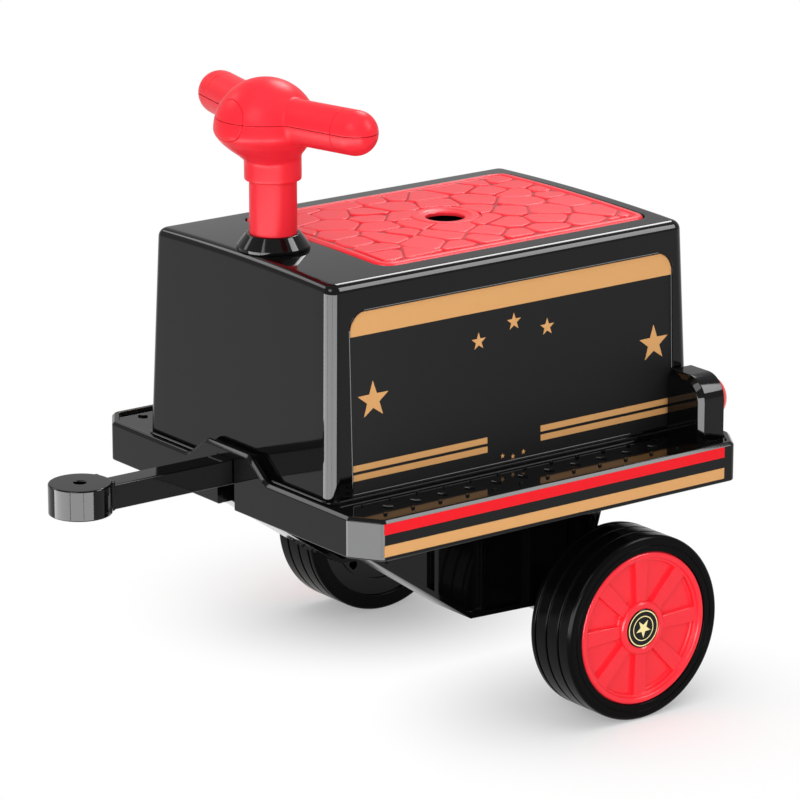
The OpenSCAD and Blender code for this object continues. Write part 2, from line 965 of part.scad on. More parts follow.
module leg() {
    from_tray()
        difference() {
            union() {
                translate([0, leg_span / 2, 0])
                    rotate([90, 0, 0])
                        difference() {
                            linear_extrude(leg_w)
                                polygon(leg_points);
                            translate([0, 0, leg_recess + leg_wall])
                                linear_extrude(leg_w)
                                    polygon(drawn_in(leg_points, leg_wall));
                            translate([0, 0, -over])
                                linear_extrude(leg_recess + over)
                                    polygon(drawn_in(leg_points, leg_wall));
                        }
                intersection() {
                    for (share = leg_rib_share)
                        translate([
                            share * leg_l - leg_rear_up,
                            leg_span / 2 - leg_w,
                            axle_z
                        ])
                            cube([leg_rib_t, leg_w, plate_z - axle_z]);
                    translate([0, leg_span / 2, 0])
                        rotate([90, 0, 0])
                            linear_extrude(leg_w)
                                polygon(leg_points);
                }
                translate([-axle_back, 0, axle_z]) {
                    bar_y(2 * lobe_r, leg_span / 2 - leg_w, leg_span / 2);
                    bar_y(axle_d + 2 * boss_wall, leg_span / 2 - leg_w, leg_boss_end);
                }
                for (x = leg_screw_x)
                    translate([x, leg_screw_y, plate_z - leg_flange_t])
                        cylinder(d = leg_w - 2 * leg_wall, h = leg_flange_t, $fn = fine);
            }
            translate([-axle_back, 0, axle_z])
                bar_y(axle_d + 2 * fit_gap, leg_span / 2 - leg_w - over, leg_boss_end + over);
            for (x = leg_screw_x)
                translate([x, leg_screw_y, plate_z - leg_flange_t - over])
                    cylinder(d = screw_d + 2 * fit_gap, h = leg_flange_t + 2 * over, $fn = fine);
        }
}

module leg_left() {
    color(black_plastic)
        leg();
}

module leg_right() {
    color(black_plastic)
        mirror([0, 1, 0])
            leg();
}

leg_screw_l = 13;
body_screw_l = 22;
pod_screw_l = 16;

module leg_screws() {
    color(steel)
        from_tray()
            for (p = leg_screw_places)
                translate([p[0], p[1], plate_z - leg_flange_t])
                    screw_up(screw_d, screw_head_d, screw_head_h, leg_screw_l);
}

module body_screws() {
    color(steel)
        from_tray()
            for (p = body_screw_places)
                translate([p[0], p[1], plate_z])
                    screw_up(screw_d, screw_head_d, screw_head_h, body_screw_l);
}

// Axle with its washers and push nuts

bush_short = 14;
nut_wide = 20;
nut_thick = 4;
axle_recess = 7;
axle_half = wheel_span / 2 - axle_recess;

module on_axle() {
    from_tray()
        translate([-axle_back, 0, axle_z])
            children();
}

module axle() {
    color(steel)
        on_axle()
            bar_y(axle_d, -axle_half, axle_half);
}

module ring_y(d, bore, y0, y1) {
    difference() {
        bar_y(d, y0, y1);
        bar_y(bore, y0 - over, y1 + over);
    }
}

module axle_washers() {
    outer = wheel_span / 2 - bush_short + run_gap;
    color(steel)
        on_axle()
            both_sides() {
                ring_y(axle_d + 2 * boss_wall, axle_d + 2 * fit_gap, outer, outer + washer_t);
                ring_y(
                    axle_d + 2 * boss_wall,
                    axle_d + 2 * fit_gap,
                    leg_boss_end + run_gap,
                    leg_boss_end + run_gap + washer_t
                );
            }
}

module axle_nuts() {
    inner = wheel_span / 2 - bush_short + 2 * run_gap + washer_t;
    color(steel)
        on_axle()
            both_sides()
                ring_y(nut_wide, axle_d + 2 * fit_gap, inner, inner + nut_thick);
}

// Wheels, drawn with the axle on Z and the outer face of the tyre at zero

shoulder_r = 4;
tyre_depth = 17;
groove_cut = 1.6;
groove_shares = [0.29, 0.58, 0.86];
side_ring_in = 5;
side_ring_w = 1;
side_ring_depth = 0.6;
rim_flange_t = 6;
rim_lip_w = 6;
barrel_t = 3.5;
web_z = 7;
web_t = 3;
spoke_wide = 13;
spoke_narrow = 10;
bush_wall = 3;
badge_t = 3.4;
badge_sink = 0.4;
nut_room = 2.5;
inner_web_in = 2;
inner_ring_d = 100;
inner_ring_w = 2.5;
inner_ring_h = 1.5;
inner_hub_d = 34;
wheel_screw_r = 44;
wheel_screws_n = 4;
post_d_wheel = 12;
wheel_screw_seat = 4;
wheel_screw_deep = 10;
wheel_r = wheel_d / 2;
rim_r = rim_d / 2;
seat_r = wheel_r - tyre_depth;
half_w = tyre_w / 2;
bush_r = axle_d / 2 + bush_wall;

module box_2d(r0, r1, z0, z1) {
    translate([r0, z0])
        square([r1 - r0, z1 - z0]);
}

module wheel_at() {
    on_axle()
        translate([0, wheel_span / 2, 0])
            rotate([-90, 0, 0])
                children();
}

module tyre() {
    wheel_at()
        rotate_extrude($fn = fine)
            difference() {
                union() {
                    box_2d(seat_r, wheel_r - shoulder_r, -tyre_w, 0);
                    box_2d(seat_r, wheel_r, -tyre_w + shoulder_r, -shoulder_r);
                    for (z = [-shoulder_r, shoulder_r - tyre_w])
                        translate([wheel_r - shoulder_r, z])
                            circle(r = shoulder_r, $fn = fine);
                }
                box_2d(0, rim_r + seat_gap, -rim_flange_t - seat_gap, over);
                box_2d(0, rim_r + seat_gap, -tyre_w - over, -tyre_w + rim_flange_t + seat_gap);
                for (share = groove_shares)
                    box_2d(
                        wheel_r - groove_cut,
                        wheel_r + over,
                        -share * tyre_w - groove_cut / 2,
                        -share * tyre_w + groove_cut / 2
                    );
                for (z = [-side_ring_depth, -tyre_w - over])
                    box_2d(
                        rim_r + side_ring_in,
                        rim_r + side_ring_in + side_ring_w,
                        z,
                        z + side_ring_depth + over
                    );
            }
}

module rim_section() {
    difference() {
        union() {
            box_2d(rim_r - rim_lip_w, rim_r, -rim_flange_t, -rim_lip_w / 2);
            translate([rim_r - rim_lip_w / 2, -rim_lip_w / 2])
                circle(d = rim_lip_w, $fn = fine);
            box_2d(seat_r - barrel_t, seat_r - seat_gap, -half_w + seat_gap, -rim_lip_w / 2);
            box_2d(bush_r, seat_r - seat_gap, -web_z - web_t, -web_z);
            box_2d(bush_r, hub_d / 2, -half_w + seat_gap, 0);
        }
        box_2d(0, bush_r + fit_gap, -tyre_w, over);
        box_2d(0, nut_wide / 2 + nut_room, -bush_short, over);
        box_2d(0, badge_d / 2 + seat_gap, -badge_t - badge_sink, over);
    }
}

module spoke() {
    translate([0, 0, -web_z - sliver])
        linear_extrude(spoke_h + sliver)
            polygon([
                [hub_d / 2 - over, -spoke_narrow / 2], [seat_r - barrel_t + over, -spoke_wide / 2],
                [seat_r - barrel_t + over, spoke_wide / 2], [hub_d / 2 - over, spoke_narrow / 2]
            ]);
}

module screw_circle() {
    for (k = [0:wheel_screws_n - 1])
        rotate([0, 0, (k + 0.5) * 360 / wheel_screws_n])
            translate([wheel_screw_r, 0, 0])
                children();
}

module rim() {
    wheel_at()
        difference() {
            union() {
                rotate_extrude($fn = fine)
                    rim_section();
                for (k = [0:spokes - 1])
                    rotate([0, 0, k * 360 / spokes])
                        spoke();
                screw_circle()
                    translate([0, 0, -half_w + seat_gap])
                        cylinder(d = post_d_wheel, h = half_w - seat_gap - web_z - web_t + sliver, $fn = fine);
            }
            screw_circle()
                translate([0, 0, -half_w])
                    cylinder(d = screw_d + 2 * fit_gap, h = wheel_screw_deep + seat_gap, $fn = fine);
        }
}

module inner_section() {
    web = -tyre_w + inner_web_in;
    difference() {
        union() {
            box_2d(seat_r - barrel_t, seat_r - seat_gap, web, -half_w - seat_gap);
            box_2d(bush_r, rim_r, web, web + web_t);
            box_2d(inner_ring_d / 2 - inner_ring_w, inner_ring_d / 2, web - inner_ring_h, web + sliver);
            box_2d(bush_r, inner_hub_d / 2, -tyre_w - hub_in + run_gap, -half_w - seat_gap);
        }
        box_2d(0, bush_r + fit_gap, -2 * tyre_w, over);
    }
}

module wheel_inner() {
    web = -tyre_w + inner_web_in;
    wheel_at()
        difference() {
            union() {
                rotate_extrude($fn = fine)
                    inner_section();
                screw_circle()
                    translate([0, 0, web])
                        cylinder(d = post_d_wheel, h = -half_w - seat_gap - web, $fn = fine);
            }
            screw_circle() {
                translate([0, 0, web - over])
                    cylinder(d = screw_head_d + 2 * seat_gap, h = -half_w - wheel_screw_seat - web + over, $fn = fine);
                translate([0, 0, -half_w - wheel_screw_seat - over])
                    cylinder(d = screw_d + 2 * fit_gap, h = wheel_screw_seat + 2 * over, $fn = fine);
            }
        }
}

module bush() {
    wheel_at()
        translate([0, 0, -tyre_w - hub_in])
            difference() {
                cylinder(r = bush_r, h = tyre_w + hub_in - bush_short, $fn = fine);
                translate([0, 0, -over])
                    cylinder(d = axle_d + 2 * fit_gap, h = tyre_w + hub_in, $fn = fine);
            }
}

module hub_badge() {
    wheel_at()
        translate([0, 0, -badge_t - badge_sink])
            cylinder(d = badge_d, h = badge_t, $fn = fine);
}

module wheel_screws() {
    wheel_at()
        screw_circle()
            translate([0, 0, -half_w - wheel_screw_seat])
                screw_up(screw_d, screw_head_d, screw_head_h, wheel_screw_seat + wheel_screw_deep - seat_gap);
}

module tyre_left() {
    color(tyre_black)
        tyre();
}

module rim_left() {
    color(toy_red)
        rim();
}

module wheel_inner_left() {
    color(black_plastic)
        wheel_inner();
}

module bush_left() {
    color(nylon)
        bush();
}

module hub_badge_left() {
    color(badge_cream)
        hub_badge();
}

module wheel_screws_left() {
    color(steel)
        wheel_screws();
}

module tyre_right() {
    color(tyre_black)
        mirror([0, 1, 0])
            tyre();
}

module rim_right() {
    color(toy_red)
        mirror([0, 1, 0])
            rim();
}

module wheel_inner_right() {
    color(black_plastic)
        mirror([0, 1, 0])
            wheel_inner();
}

module bush_right() {
    color(nylon)
        mirror([0, 1, 0])
            bush();
}

module hub_badge_right() {
    color(badge_cream)
        mirror([0, 1, 0])
            hub_badge();
}

module wheel_screws_right() {
    color(steel)
        mirror([0, 1, 0])
            wheel_screws();
}

// Rear lamps: a pod beside the body and a domed lens that faces back

pod_rear_gap = 12.5;
pod_bevel = 4.2;
pod_side_gap = 0.5;
lens_y_share = 0.512;
lens_z_share = 0.55;
lens_stem_d = 18;
lens_stem_l = 6;
pod_screw_share = [0.22, 0.8];
pod_rear = -tray_front + pod_rear_gap;
pod_front = pod_rear + pod_l;
pod_inner = body_w / 2 + flange_out + pod_side_gap;
pod_top_z = tread_z + pod_h;
pod_w = pod_reach - pod_inner;
lens_y = pod_inner + lens_y_share * pod_w;
lens_z = tread_z + lens_z_share * pod_h;
pod_screw_y = [for (share = pod_screw_share) pod_inner + share * pod_w];
pod_screw_places = [for (y = pod_screw_y, sy = [-1, 1]) [(pod_rear + pod_front) / 2, sy * y]];

module pod_outline(cut) {
    translate([pod_inner, tread_z])
        square([pod_w - pod_r, pod_h - cut]);
    translate([pod_inner, tread_z])
        square([pod_w - cut, pod_h - pod_r]);
    intersection() {
        translate([pod_reach - pod_r, pod_top_z - pod_r])
            circle(r = pod_r - cut, $fn = fine);
        translate([pod_inner, tread_z])
            square([pod_w, pod_h]);
    }
}

module pod_slice(x, cut) {
    translate([x, 0, 0])
        rotate([90, 0, 90])
            linear_extrude(sliver)
                pod_outline(cut);
}

module lamp_pod() {
    from_tray()
        difference() {
            union() {
                translate([pod_rear, 0, 0])
                    rotate([90, 0, 90])
                        linear_extrude(pod_l - pod_bevel)
                            pod_outline(0);
                hull() {
                    pod_slice(pod_front - pod_bevel - sliver, 0);
                    pod_slice(pod_front - sliver, pod_bevel);
                }
            }
            translate([pod_rear - over, lens_y, lens_z])
                rotate([0, 90, 0])
                    cylinder(d = lens_stem_d + 2 * fit_gap, h = lens_stem_l + over + seat_gap, $fn = fine);
            for (y = pod_screw_y)
                translate([(pod_rear + pod_front) / 2, y, tread_z - over])
                    cylinder(d = screw_d + 2 * fit_gap, h = pod_screw_l + over, $fn = fine);
        }
}

module lamp_lens() {
    dome_r = (lens_d * lens_d / 4 + lens_out * lens_out) / (2 * lens_out);
    from_tray()
        translate([pod_rear, lens_y, lens_z])
            rotate([0, -90, 0]) {
                intersection() {
                    translate([0, 0, lens_out - dome_r])
                        sphere(r = dome_r, $fn = fine);
                    cylinder(d = lens_d, h = lens_out + over, $fn = fine);
                }
                translate([0, 0, -lens_stem_l])
                    cylinder(d = lens_stem_d, h = lens_stem_l + sliver, $fn = fine);
            }
}

module lamp_pod_left() {
    color(black_plastic)
        lamp_pod();
}

module lamp_pod_right() {
    color(black_plastic)
        mirror([0, 1, 0])
            lamp_pod();
}

module lamp_lens_left() {
    color(toy_red)
        lamp_lens();
}

module lamp_lens_right() {
    color(toy_red)
        mirror([0, 1, 0])
            lamp_lens();
}

module lamp_screws() {
    color(steel)
        from_tray()
            for (p = pod_screw_places)
                translate([p[0], p[1], plate_z])
                    screw_up(screw_d, screw_head_d, screw_head_h, pod_screw_l);
}

tray();
body_shell();
storage_tub();
seat_lid();
tow_bar();
tow_bar_bolts();
handle_base();
handle_post();
handle_lower_shell();
handle_upper_shell();
handle_screws();
post_bolt();
leg_left();
leg_right();
leg_screws();
body_screws();
axle();
axle_washers();
axle_nuts();
tyre_left();
rim_left();
wheel_inner_left();
bush_left();
hub_badge_left();
wheel_screws_left();
tyre_right();
rim_right();
wheel_inner_right();
bush_right();
hub_badge_right();
wheel_screws_right();
lamp_pod_left();
lamp_pod_right();
lamp_lens_left();
lamp_lens_right();
lamp_screws();
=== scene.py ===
import math
import bmesh
import bpy
from mathutils import Matrix, Quaternion, Vector


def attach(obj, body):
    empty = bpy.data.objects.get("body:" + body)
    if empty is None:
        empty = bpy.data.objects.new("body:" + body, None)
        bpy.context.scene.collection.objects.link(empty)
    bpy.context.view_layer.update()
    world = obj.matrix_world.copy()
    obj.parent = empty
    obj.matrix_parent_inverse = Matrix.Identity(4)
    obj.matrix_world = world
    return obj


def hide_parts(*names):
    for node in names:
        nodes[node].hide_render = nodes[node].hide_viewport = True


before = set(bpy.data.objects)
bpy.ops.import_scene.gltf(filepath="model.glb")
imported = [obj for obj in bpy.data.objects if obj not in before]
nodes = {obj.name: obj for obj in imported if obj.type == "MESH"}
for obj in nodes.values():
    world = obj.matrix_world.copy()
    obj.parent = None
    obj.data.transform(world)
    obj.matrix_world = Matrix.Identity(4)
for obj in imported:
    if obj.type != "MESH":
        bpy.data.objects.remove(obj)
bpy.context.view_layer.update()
print("frame loaded")

# Shared places in metres, in the CAD frame
midX = -0.07925  # middle of the tray
lidX = midX - 0.025
treadZ = 0.2045
axle = Vector((midX - 0.073, 0, 0.075))
hair = 1e-5  # a step too small to see
weldGap = 1e-7
cutGap = 1e-6


# Shape helpers

def filleted(points, radius=0.0, steps=5, closed=False):
    # A point may carry its own radius as a third number
    made = []
    count = len(points)
    for k, p in enumerate(points):
        r = p[2] if len(p) > 2 else radius
        here = Vector(p[:2])
        if r <= 0 or (not closed and k in (0, count - 1)):
            made.append(here)
            continue
        back = Vector(points[k - 1][:2]) - here
        ahead = Vector(points[(k + 1) % count][:2]) - here
        room = min(back.length, ahead.length) * 0.48  # leaves space for the next corner
        back.normalize()
        ahead.normalize()
        half = back.angle(ahead) / 2
        if half > math.radians(88):  # as good as straight
            made.append(here)
            continue
        cut = min(r / math.tan(half), room)
        r = cut * math.tan(half)
        centre = here + (back + ahead).normalized() * (r / math.sin(half))
        a = here + back * cut - centre
        b = here + ahead * cut - centre
        start = math.atan2(a.y, a.x)
        turn = (math.atan2(b.y, b.x) - start + math.pi) % (2 * math.pi) - math.pi
        for s in range(steps + 1):
            angle = start + turn * s / steps
            made.append(centre + r * Vector((math.cos(angle), math.sin(angle))))
    return made


def quarter(r, steps):
    # Insets and drops along a quarter round
    angles = [math.pi / 2 * k / steps for k in range(steps + 1)]
    return [(r * (1 - math.cos(a)), r * (1 - math.sin(a))) for a in angles]


def roundedLoop(halfX, halfY, r, centreX=0.0, corner=8, side=14):
    arcs = []
    for sx, sy, start in ((1, -1, -90), (1, 1, 0), (-1, 1, 90), (-1, -1, 180)):
        middle = Vector((centreX + sx * (halfX - r), sy * (halfY - r)))
        angles = [math.radians(start + 90 * k / corner) for k in range(corner + 1)]
        arcs.append([middle + r * Vector((math.cos(a), math.sin(a))) for a in angles])
    loop = []
    for k, arc in enumerate(arcs):
        follow = arcs[(k + 1) % 4]
        loop += arc
        loop += [arc[-1].lerp(follow[0], (s + 1) / side) for s in range(side - 1)]
    return loop


def parts(geom, kind):
    return [g for g in geom if isinstance(g, kind)]


def loft(bm, loops, slotIndex=0):
    row = [bm.verts.new(p) for p in loops[0]]
    ring = [bm.edges.new(pair) for pair in zip(row, row[1:] + row[:1])]
    rows = [row]
    for loop in loops[1:]:
        made = bmesh.ops.extrude_edge_only(bm, edges=ring)["geom"]
        fresh = set(parts(made, bmesh.types.BMVert))
        row = [next(e.other_vert(v) for e in v.link_edges if e.other_vert(v) in fresh) for v in row]
        ring = [e for e in parts(made, bmesh.types.BMEdge) if fresh.issuperset(e.verts)]
        for v, p in zip(row, loop):
            v.co = p
        for face in parts(made, bmesh.types.BMFace):
            face.material_index = slotIndex
        rows.append(row)
    return rows


def extruded(bm, outline, height):
    face = bm.faces.new([bm.verts.new((p[0], p[1], 0)) for p in outline])
    grown = bmesh.ops.extrude_face_region(bm, geom=[face])["geom"]
    bmesh.ops.translate(bm, vec=(0, 0, height), verts=parts(grown, bmesh.types.BMVert))
    return [e for f in parts(grown, bmesh.types.BMFace) for e in f.edges]


def spun(bm, profile, place, steps=96, slotIndex=0):
    made = bmesh.new()
    verts = [made.verts.new((p[0], 0, p[1])) for p in profile]
    edges = [made.edges.new(pair) for pair in zip(verts, verts[1:])]
    bmesh.ops.spin(made, geom=verts + edges, cent=(0, 0, 0), axis=(0, 0, 1), dvec=(0, 0, 0),
                   angle=2 * math.pi, steps=steps, use_merge=True)
    bmesh.ops.remove_doubles(made, verts=made.verts, dist=weldGap)
    bmesh.ops.recalc_face_normals(made, faces=made.faces)
    for face in made.faces:
        face.material_index = slotIndex
    joinBm(bm, made, place)


def softened(bm, edges, r, segments=2):
    bmesh.ops.bevel(bm, geom=edges, offset=r, affect="EDGES", segments=segments, profile=0.5, material=-1)


def joinBm(bm, made, place=None):
    if place is not None:
        made.transform(place)
        if place.determinant() < 0:
            bmesh.ops.reverse_faces(made, faces=made.faces)
    held = bpy.data.meshes.new("held")
    made.to_mesh(held)
    made.free()
    bm.from_mesh(held)
    bpy.data.meshes.remove(held)


def softBox(bm, low, high, r=0.0, slotIndex=0, segments=2):
    made = bmesh.new()
    low, high = Vector(low), Vector(high)
    bmesh.ops.create_cube(made, size=1)
    made.transform(Matrix.Translation((low + high) / 2) @ Matrix.Diagonal((*(high - low), 1)))
    if r:
        softened(made, made.edges[:], r, segments)
    for face in made.faces:
        face.material_index = slotIndex
    joinBm(bm, made)


def prism(bm, outline, place, height, r=0.0, slotIndex=0, segments=3):
    made = bmesh.new()
    topEdges = extruded(made, outline, height)
    if r:
        softened(made, topEdges, r, segments)
    bmesh.ops.recalc_face_normals(made, faces=made.faces)
    for face in made.faces:
        face.material_index = slotIndex
    joinBm(bm, made, place)


def starOutline(r, x=0.0, y=0.0, inner=0.4):
    points = []
    for k in range(10):
        a = math.pi / 2 + k * math.pi / 5
        reach = r if k % 2 == 0 else r * inner
        points.append(Vector((x + reach * math.cos(a), y + reach * math.sin(a))))
    return points


def addPiece(name, bm, materials, body, stands=(), sharp=32, fix=True):
    if fix:
        bmesh.ops.recalc_face_normals(bm, faces=bm.faces)
    limit = math.radians(sharp)
    for face in bm.faces:
        face.smooth = True
    for edge in bm.edges:
        edge.smooth = len(edge.link_faces) != 2 or edge.calc_face_angle(0) < limit
    mesh = bpy.data.meshes.new(name)
    bm.to_mesh(mesh)
    bm.free()
    for material in materials:
        mesh.materials.append(material)
    piece = bpy.data.objects.new(name, mesh)
    bpy.context.scene.collection.objects.link(piece)
    piece.modifiers.new("normals", "WEIGHTED_NORMAL").keep_sharp = True
    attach(piece, body)
    if stands:
        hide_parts(*stands)


# Materials

def link(tree, a, b):
    tree.links.new(a, b)


def surfaceGroup():
    group = bpy.data.node_groups.new("mouldedSurface", "ShaderNodeTree")
    face = group.interface
    for name, default in (("Scale", 60.0), ("Rough", 0.2), ("Vary", 0.05), ("Grain", 900.0), ("Depth", 0.02)):
        face.new_socket(name, in_out="INPUT", socket_type="NodeSocketFloat").default_value = default
    face.new_socket("Roughness", in_out="OUTPUT", socket_type="NodeSocketFloat")
    face.new_socket("Normal", in_out="OUTPUT", socket_type="NodeSocketVector")
    n = group.nodes
    enter, leave = n.new("NodeGroupInput"), n.new("NodeGroupOutput")
    where = n.new("ShaderNodeTexCoord")
    broad, fine, bump = n.new("ShaderNodeTexNoise"), n.new("ShaderNodeTexNoise"), n.new("ShaderNodeBump")
    centred, spread, total = (n.new("ShaderNodeMath") for _ in range(3))
    broad.inputs["Detail"].default_value = 3
    fine.inputs["Detail"].default_value = 1
    centred.operation = "SUBTRACT"
    centred.inputs[1].default_value = 0.5
    spread.operation = "MULTIPLY"
    total.operation = "ADD"
    bump.inputs["Distance"].default_value = 0.0002
    for tex, scale in ((broad, "Scale"), (fine, "Grain")):
        link(group, where.outputs["Object"], tex.inputs["Vector"])
        link(group, enter.outputs[scale], tex.inputs["Scale"])
    link(group, broad.outputs["Fac"], centred.inputs[0])
    link(group, centred.outputs[0], spread.inputs[0])
    link(group, enter.outputs["Vary"], spread.inputs[1])
    link(group, spread.outputs[0], total.inputs[0])
    link(group, enter.outputs["Rough"], total.inputs[1])
    link(group, total.outputs[0], leave.inputs["Roughness"])
    link(group, fine.outputs["Fac"], bump.inputs["Height"])
    link(group, enter.outputs["Depth"], bump.inputs["Strength"])
    link(group, bump.outputs["Normal"], leave.inputs["Normal"])
    return group


surface = surfaceGroup()


def moulded(name, color, rough, vary=0.05, scale=60.0, grain=900.0, depth=0.02, **principled):
    material = bpy.data.materials.new(name)
    material.use_nodes = True
    tree = material.node_tree
    shader = tree.nodes["Principled BSDF"]
    wear = tree.nodes.new("ShaderNodeGroup")
    wear.node_tree = surface
    settings = {"Scale": scale, "Rough": rough, "Vary": vary, "Grain": grain, "Depth": depth}
    for socket, value in settings.items():
        wear.inputs[socket].default_value = value
    link(tree, wear.outputs["Roughness"], shader.inputs["Roughness"])
    link(tree, wear.outputs["Normal"], shader.inputs["Normal"])
    shader.inputs["Base Color"].default_value = (*color, 1)
    for socket, value in principled.items():
        shader.inputs[socket.replace("_", " ")].default_value = value
    return material


blackPlastic = moulded("blackPlastic", (0.002, 0.002, 0.0021), 0.06, vary=0.02, IOR=1.3)
redPlastic = moulded("redPlastic", (0.9, 0.022, 0.038), 0.34, vary=0.04, IOR=1.19)
rimRed = moulded("rimRed", (0.9, 0.022, 0.038), 0.2, vary=0.04, IOR=1.34)
seatRed = moulded("seatRed", (0.93, 0.03, 0.047), 0.33, vary=0.06, depth=0.04, IOR=1.3)
# The lid's red made darker for the ground between the cobbles: painted shade in the gaps
seatGapShade = moulded("seatGapShade", (0.42, 0.008, 0.014), 0.4, vary=0.06, depth=0.04, IOR=1.3)
panelBlack = moulded("panelBlack", (0.0082, 0.0082, 0.0085), 0.5, vary=0.05, IOR=1.22)
rubber = moulded("rubber", (0.002, 0.002, 0.002), 0.2, vary=0.05, depth=0.03, IOR=1.14)
steelLook = moulded("steelLook", (0.56, 0.56, 0.58), 0.3, vary=0.1, Metallic=1.0)
nylonLook = moulded("nylonLook", (0.7, 0.7, 0.66), 0.45)
goldPrint = moulded("goldPrint", (0.67, 0.345, 0.124), 0.3, vary=0.04, IOR=1.31)
redPrint = moulded("redPrint", (0.83, 0.006, 0.014), 0.2, vary=0.04, IOR=1.24)
creamPrint = moulded("creamPrint", (0.9, 0.78, 0.36), 0.3, IOR=1.35)
lensRed = moulded("lensRed", (0.85, 0.012, 0.02), 0.12, vary=0.02, IOR=1.3)
print("materials made")

# Tray: outline with cut corners, wall, lip, tread, hump over the tow bar and the bar's notch

# The lip is listed as inset and drop; the marks are where the front has points, closest at the hump's bends
traySize = {
    "l": 0.377, "w": 0.366, "cutX": 0.016, "cutY": 0.024, "z0": 0.175, "lipZ": 0.207, "wall": 0.004,
    "cornerR": 0.006, "leastR": 0.0012, "footR": 0.0014, "treadIn": 0.0072, "humpFoot": 0.052,
    "humpTop": 0.0295, "hump": 0.017, "humpSoft": 0.003, "notch": 0.0115, "roofZ": 0.2165,
    "lip": ((0, 0.0029), (0.0001, 0.0025), (0.0004, 0.0021), (0.002, 0.0005), (0.0023, 0.0002), (0.0028, 0),
            (0.0049, 0), (0.0054, 0.0002), (0.0057, 0.0006), (0.006, 0.002), (0.0062, 0.0023)),
    "marks": (0.058, 0.055, 0.053, 0.051, 0.049, 0.046, 0.036, 0.033, 0.031, 0.029, 0.027, 0.025, 0.018),
}
channelSize = {"inner": 0.0115, "outer": 0.0145, "rear": 0.0673, "stop": 0.0703, "side": 0.0705,
               "front": 0.1846, "topZ": 0.2164, "r": 0.0004}
studSize = {"l": 0.004, "w": 0.0016, "h": 0.0018, "sunk": 0.0003, "r": 0.0005, "count": 12, "pitch": 0.026,
            "rows": 3, "y": 0.135, "rowStep": 0.014, "rear": -0.14, "front": 0.1605}


def humpAt(y):
    # Averaged over a short reach, so that the bends come out round
    s = traySize
    total = 0
    for k in range(-4, 5):
        d = abs(y + s["humpSoft"] * (k / 4))
        total += min(max((s["humpFoot"] - d) / (s["humpFoot"] - s["humpTop"]), 0), 1)
    return s["hump"] * total / 9


def trayLoop(inset):
    s = traySize
    m = math.hypot(s["cutX"], s["cutY"])
    cx = s["cutX"] - inset * (1 + (s["cutX"] - m) / s["cutY"])
    cy = s["cutY"] - inset * (1 + (s["cutY"] - m) / s["cutX"])
    x, y = s["l"] / 2 - inset, s["w"] / 2 - inset
    corners = [(x, y - cy), (x - cx, y), (-x + cx, y), (-x, y - cy)]
    corners += [(-p[0], -p[1]) for p in corners]
    loop = filleted(corners, max(s["cornerR"] - inset * 0.3, s["leastR"]), closed=True)
    marks = [*s["marks"], s["notch"] + hair, s["notch"] - hair]
    return loop + [Vector((x, d)) for d in [-d for d in marks] + marks[::-1]]


def trayRow(inset, z, lift=1.0, notched=False):
    s = traySize
    row = []
    for p in trayLoop(inset):
        inFront = p.x > s["l"] / 2 - inset - hair
        height = z + (lift * humpAt(p.y) if inFront else 0)
        if notched and inFront and abs(p.y) < s["notch"]:
            height = s["roofZ"]
        row.append(Vector((midX + p.x, p.y, height)))
    return row


def shrunk(row, shareX, shareY, z=None):
    return [Vector((midX + (p.x - midX) * shareX, p.y * shareY, p.z if z is None else z)) for p in row]


def addChannel(bm):
    # Two side walls and a stop for the end of the tow bar
    s = channelSize
    low, high, out = traySize["z0"], s["topZ"], s["outer"]
    for side in (-1, 1):
        y0, y1 = sorted((side * s["inner"], side * out))
        softBox(bm, (midX + s["side"], y0, low), (midX + s["front"], y1, high), s["r"])
    softBox(bm, (midX + s["rear"], -out, low), (midX + s["stop"], out, high), s["r"])


def addStuds(bm):
    # Lozenges in rows that lean in turn one way and the other
    s = studSize
    lozenge = [(s["l"], 0), (0, s["w"]), (-s["l"], 0), (0, -s["w"])]
    for side in (-1, 1):
        for row in range(s["rows"]):
            y = side * (s["y"] + row * s["rowStep"])
            turn = Matrix.Rotation(side * math.pi / 4 * (1 if row % 2 == 0 else -1), 4, "Z")
            for k in range(s["count"] + 1):
                x = (k - s["count"] / 2 + (row % 2) / 2) * s["pitch"]
                if s["rear"] < x < s["front"]:
                    place = Matrix.Translation((midX + x, y, treadZ - s["sunk"]))
                    prism(bm, lozenge, place @ turn, s["h"], s["r"], segments=2)


def buildTray():
    bm = bmesh.new()
    s = traySize
    deck = treadZ - s["wall"]
    under = trayRow(s["wall"], deck)
    tread = trayRow(s["treadIn"], treadZ)
    rows = [shrunk(under, 0.5, 0.5, deck), shrunk(under, 0.8, 0.8), under]
    rows.append(trayRow(s["wall"], s["z0"], 0, True))
    rows += [trayRow(inset, s["z0"] + rise, 0, True) for rise, inset in quarter(s["footR"], 4)]
    rows += [trayRow(inset, s["lipZ"] - drop) for inset, drop in s["lip"]]
    rows += [tread, shrunk(tread, 0.85, 0.6), shrunk(tread, 0.5, 0.3, treadZ)]
    loft(bm, rows)
    bmesh.ops.holes_fill(bm, edges=[e for e in bm.edges if e.is_boundary])
    addChannel(bm)
    addStuds(bm)
    addPiece("trayDressed", bm, [blackPlastic], "chassis", ["tray"])


buildTray()
print("tray built")

# Body shell: leaning walls, crowned top, lid pocket and sunk side panels

# The foot is listed as reach and height, the wall's foot as share of the lean and height
bodySize = {
    "l": 0.357, "w": 0.246, "h": 0.169, "lean": 0.0055, "r": 0.0095, "leastR": 0.0012, "edge": 0.007,
    "crown": 0.0026, "footR": 0.011, "wallFoot": ((0.015, 0.0025), (0.017, 0.0028)),
    "foot": ((0.0015, 0), (0.0015, 0.0014), (0.0013, 0.0019), (0.0009, 0.0022), (0.0003, 0.0023)),
    "pocketL": 0.2644, "pocketW": 0.1914, "pocketR": 0.0132, "mouth": 0.001, "ledgeW": 0.01, "ledgeZ": 0.3656,
}
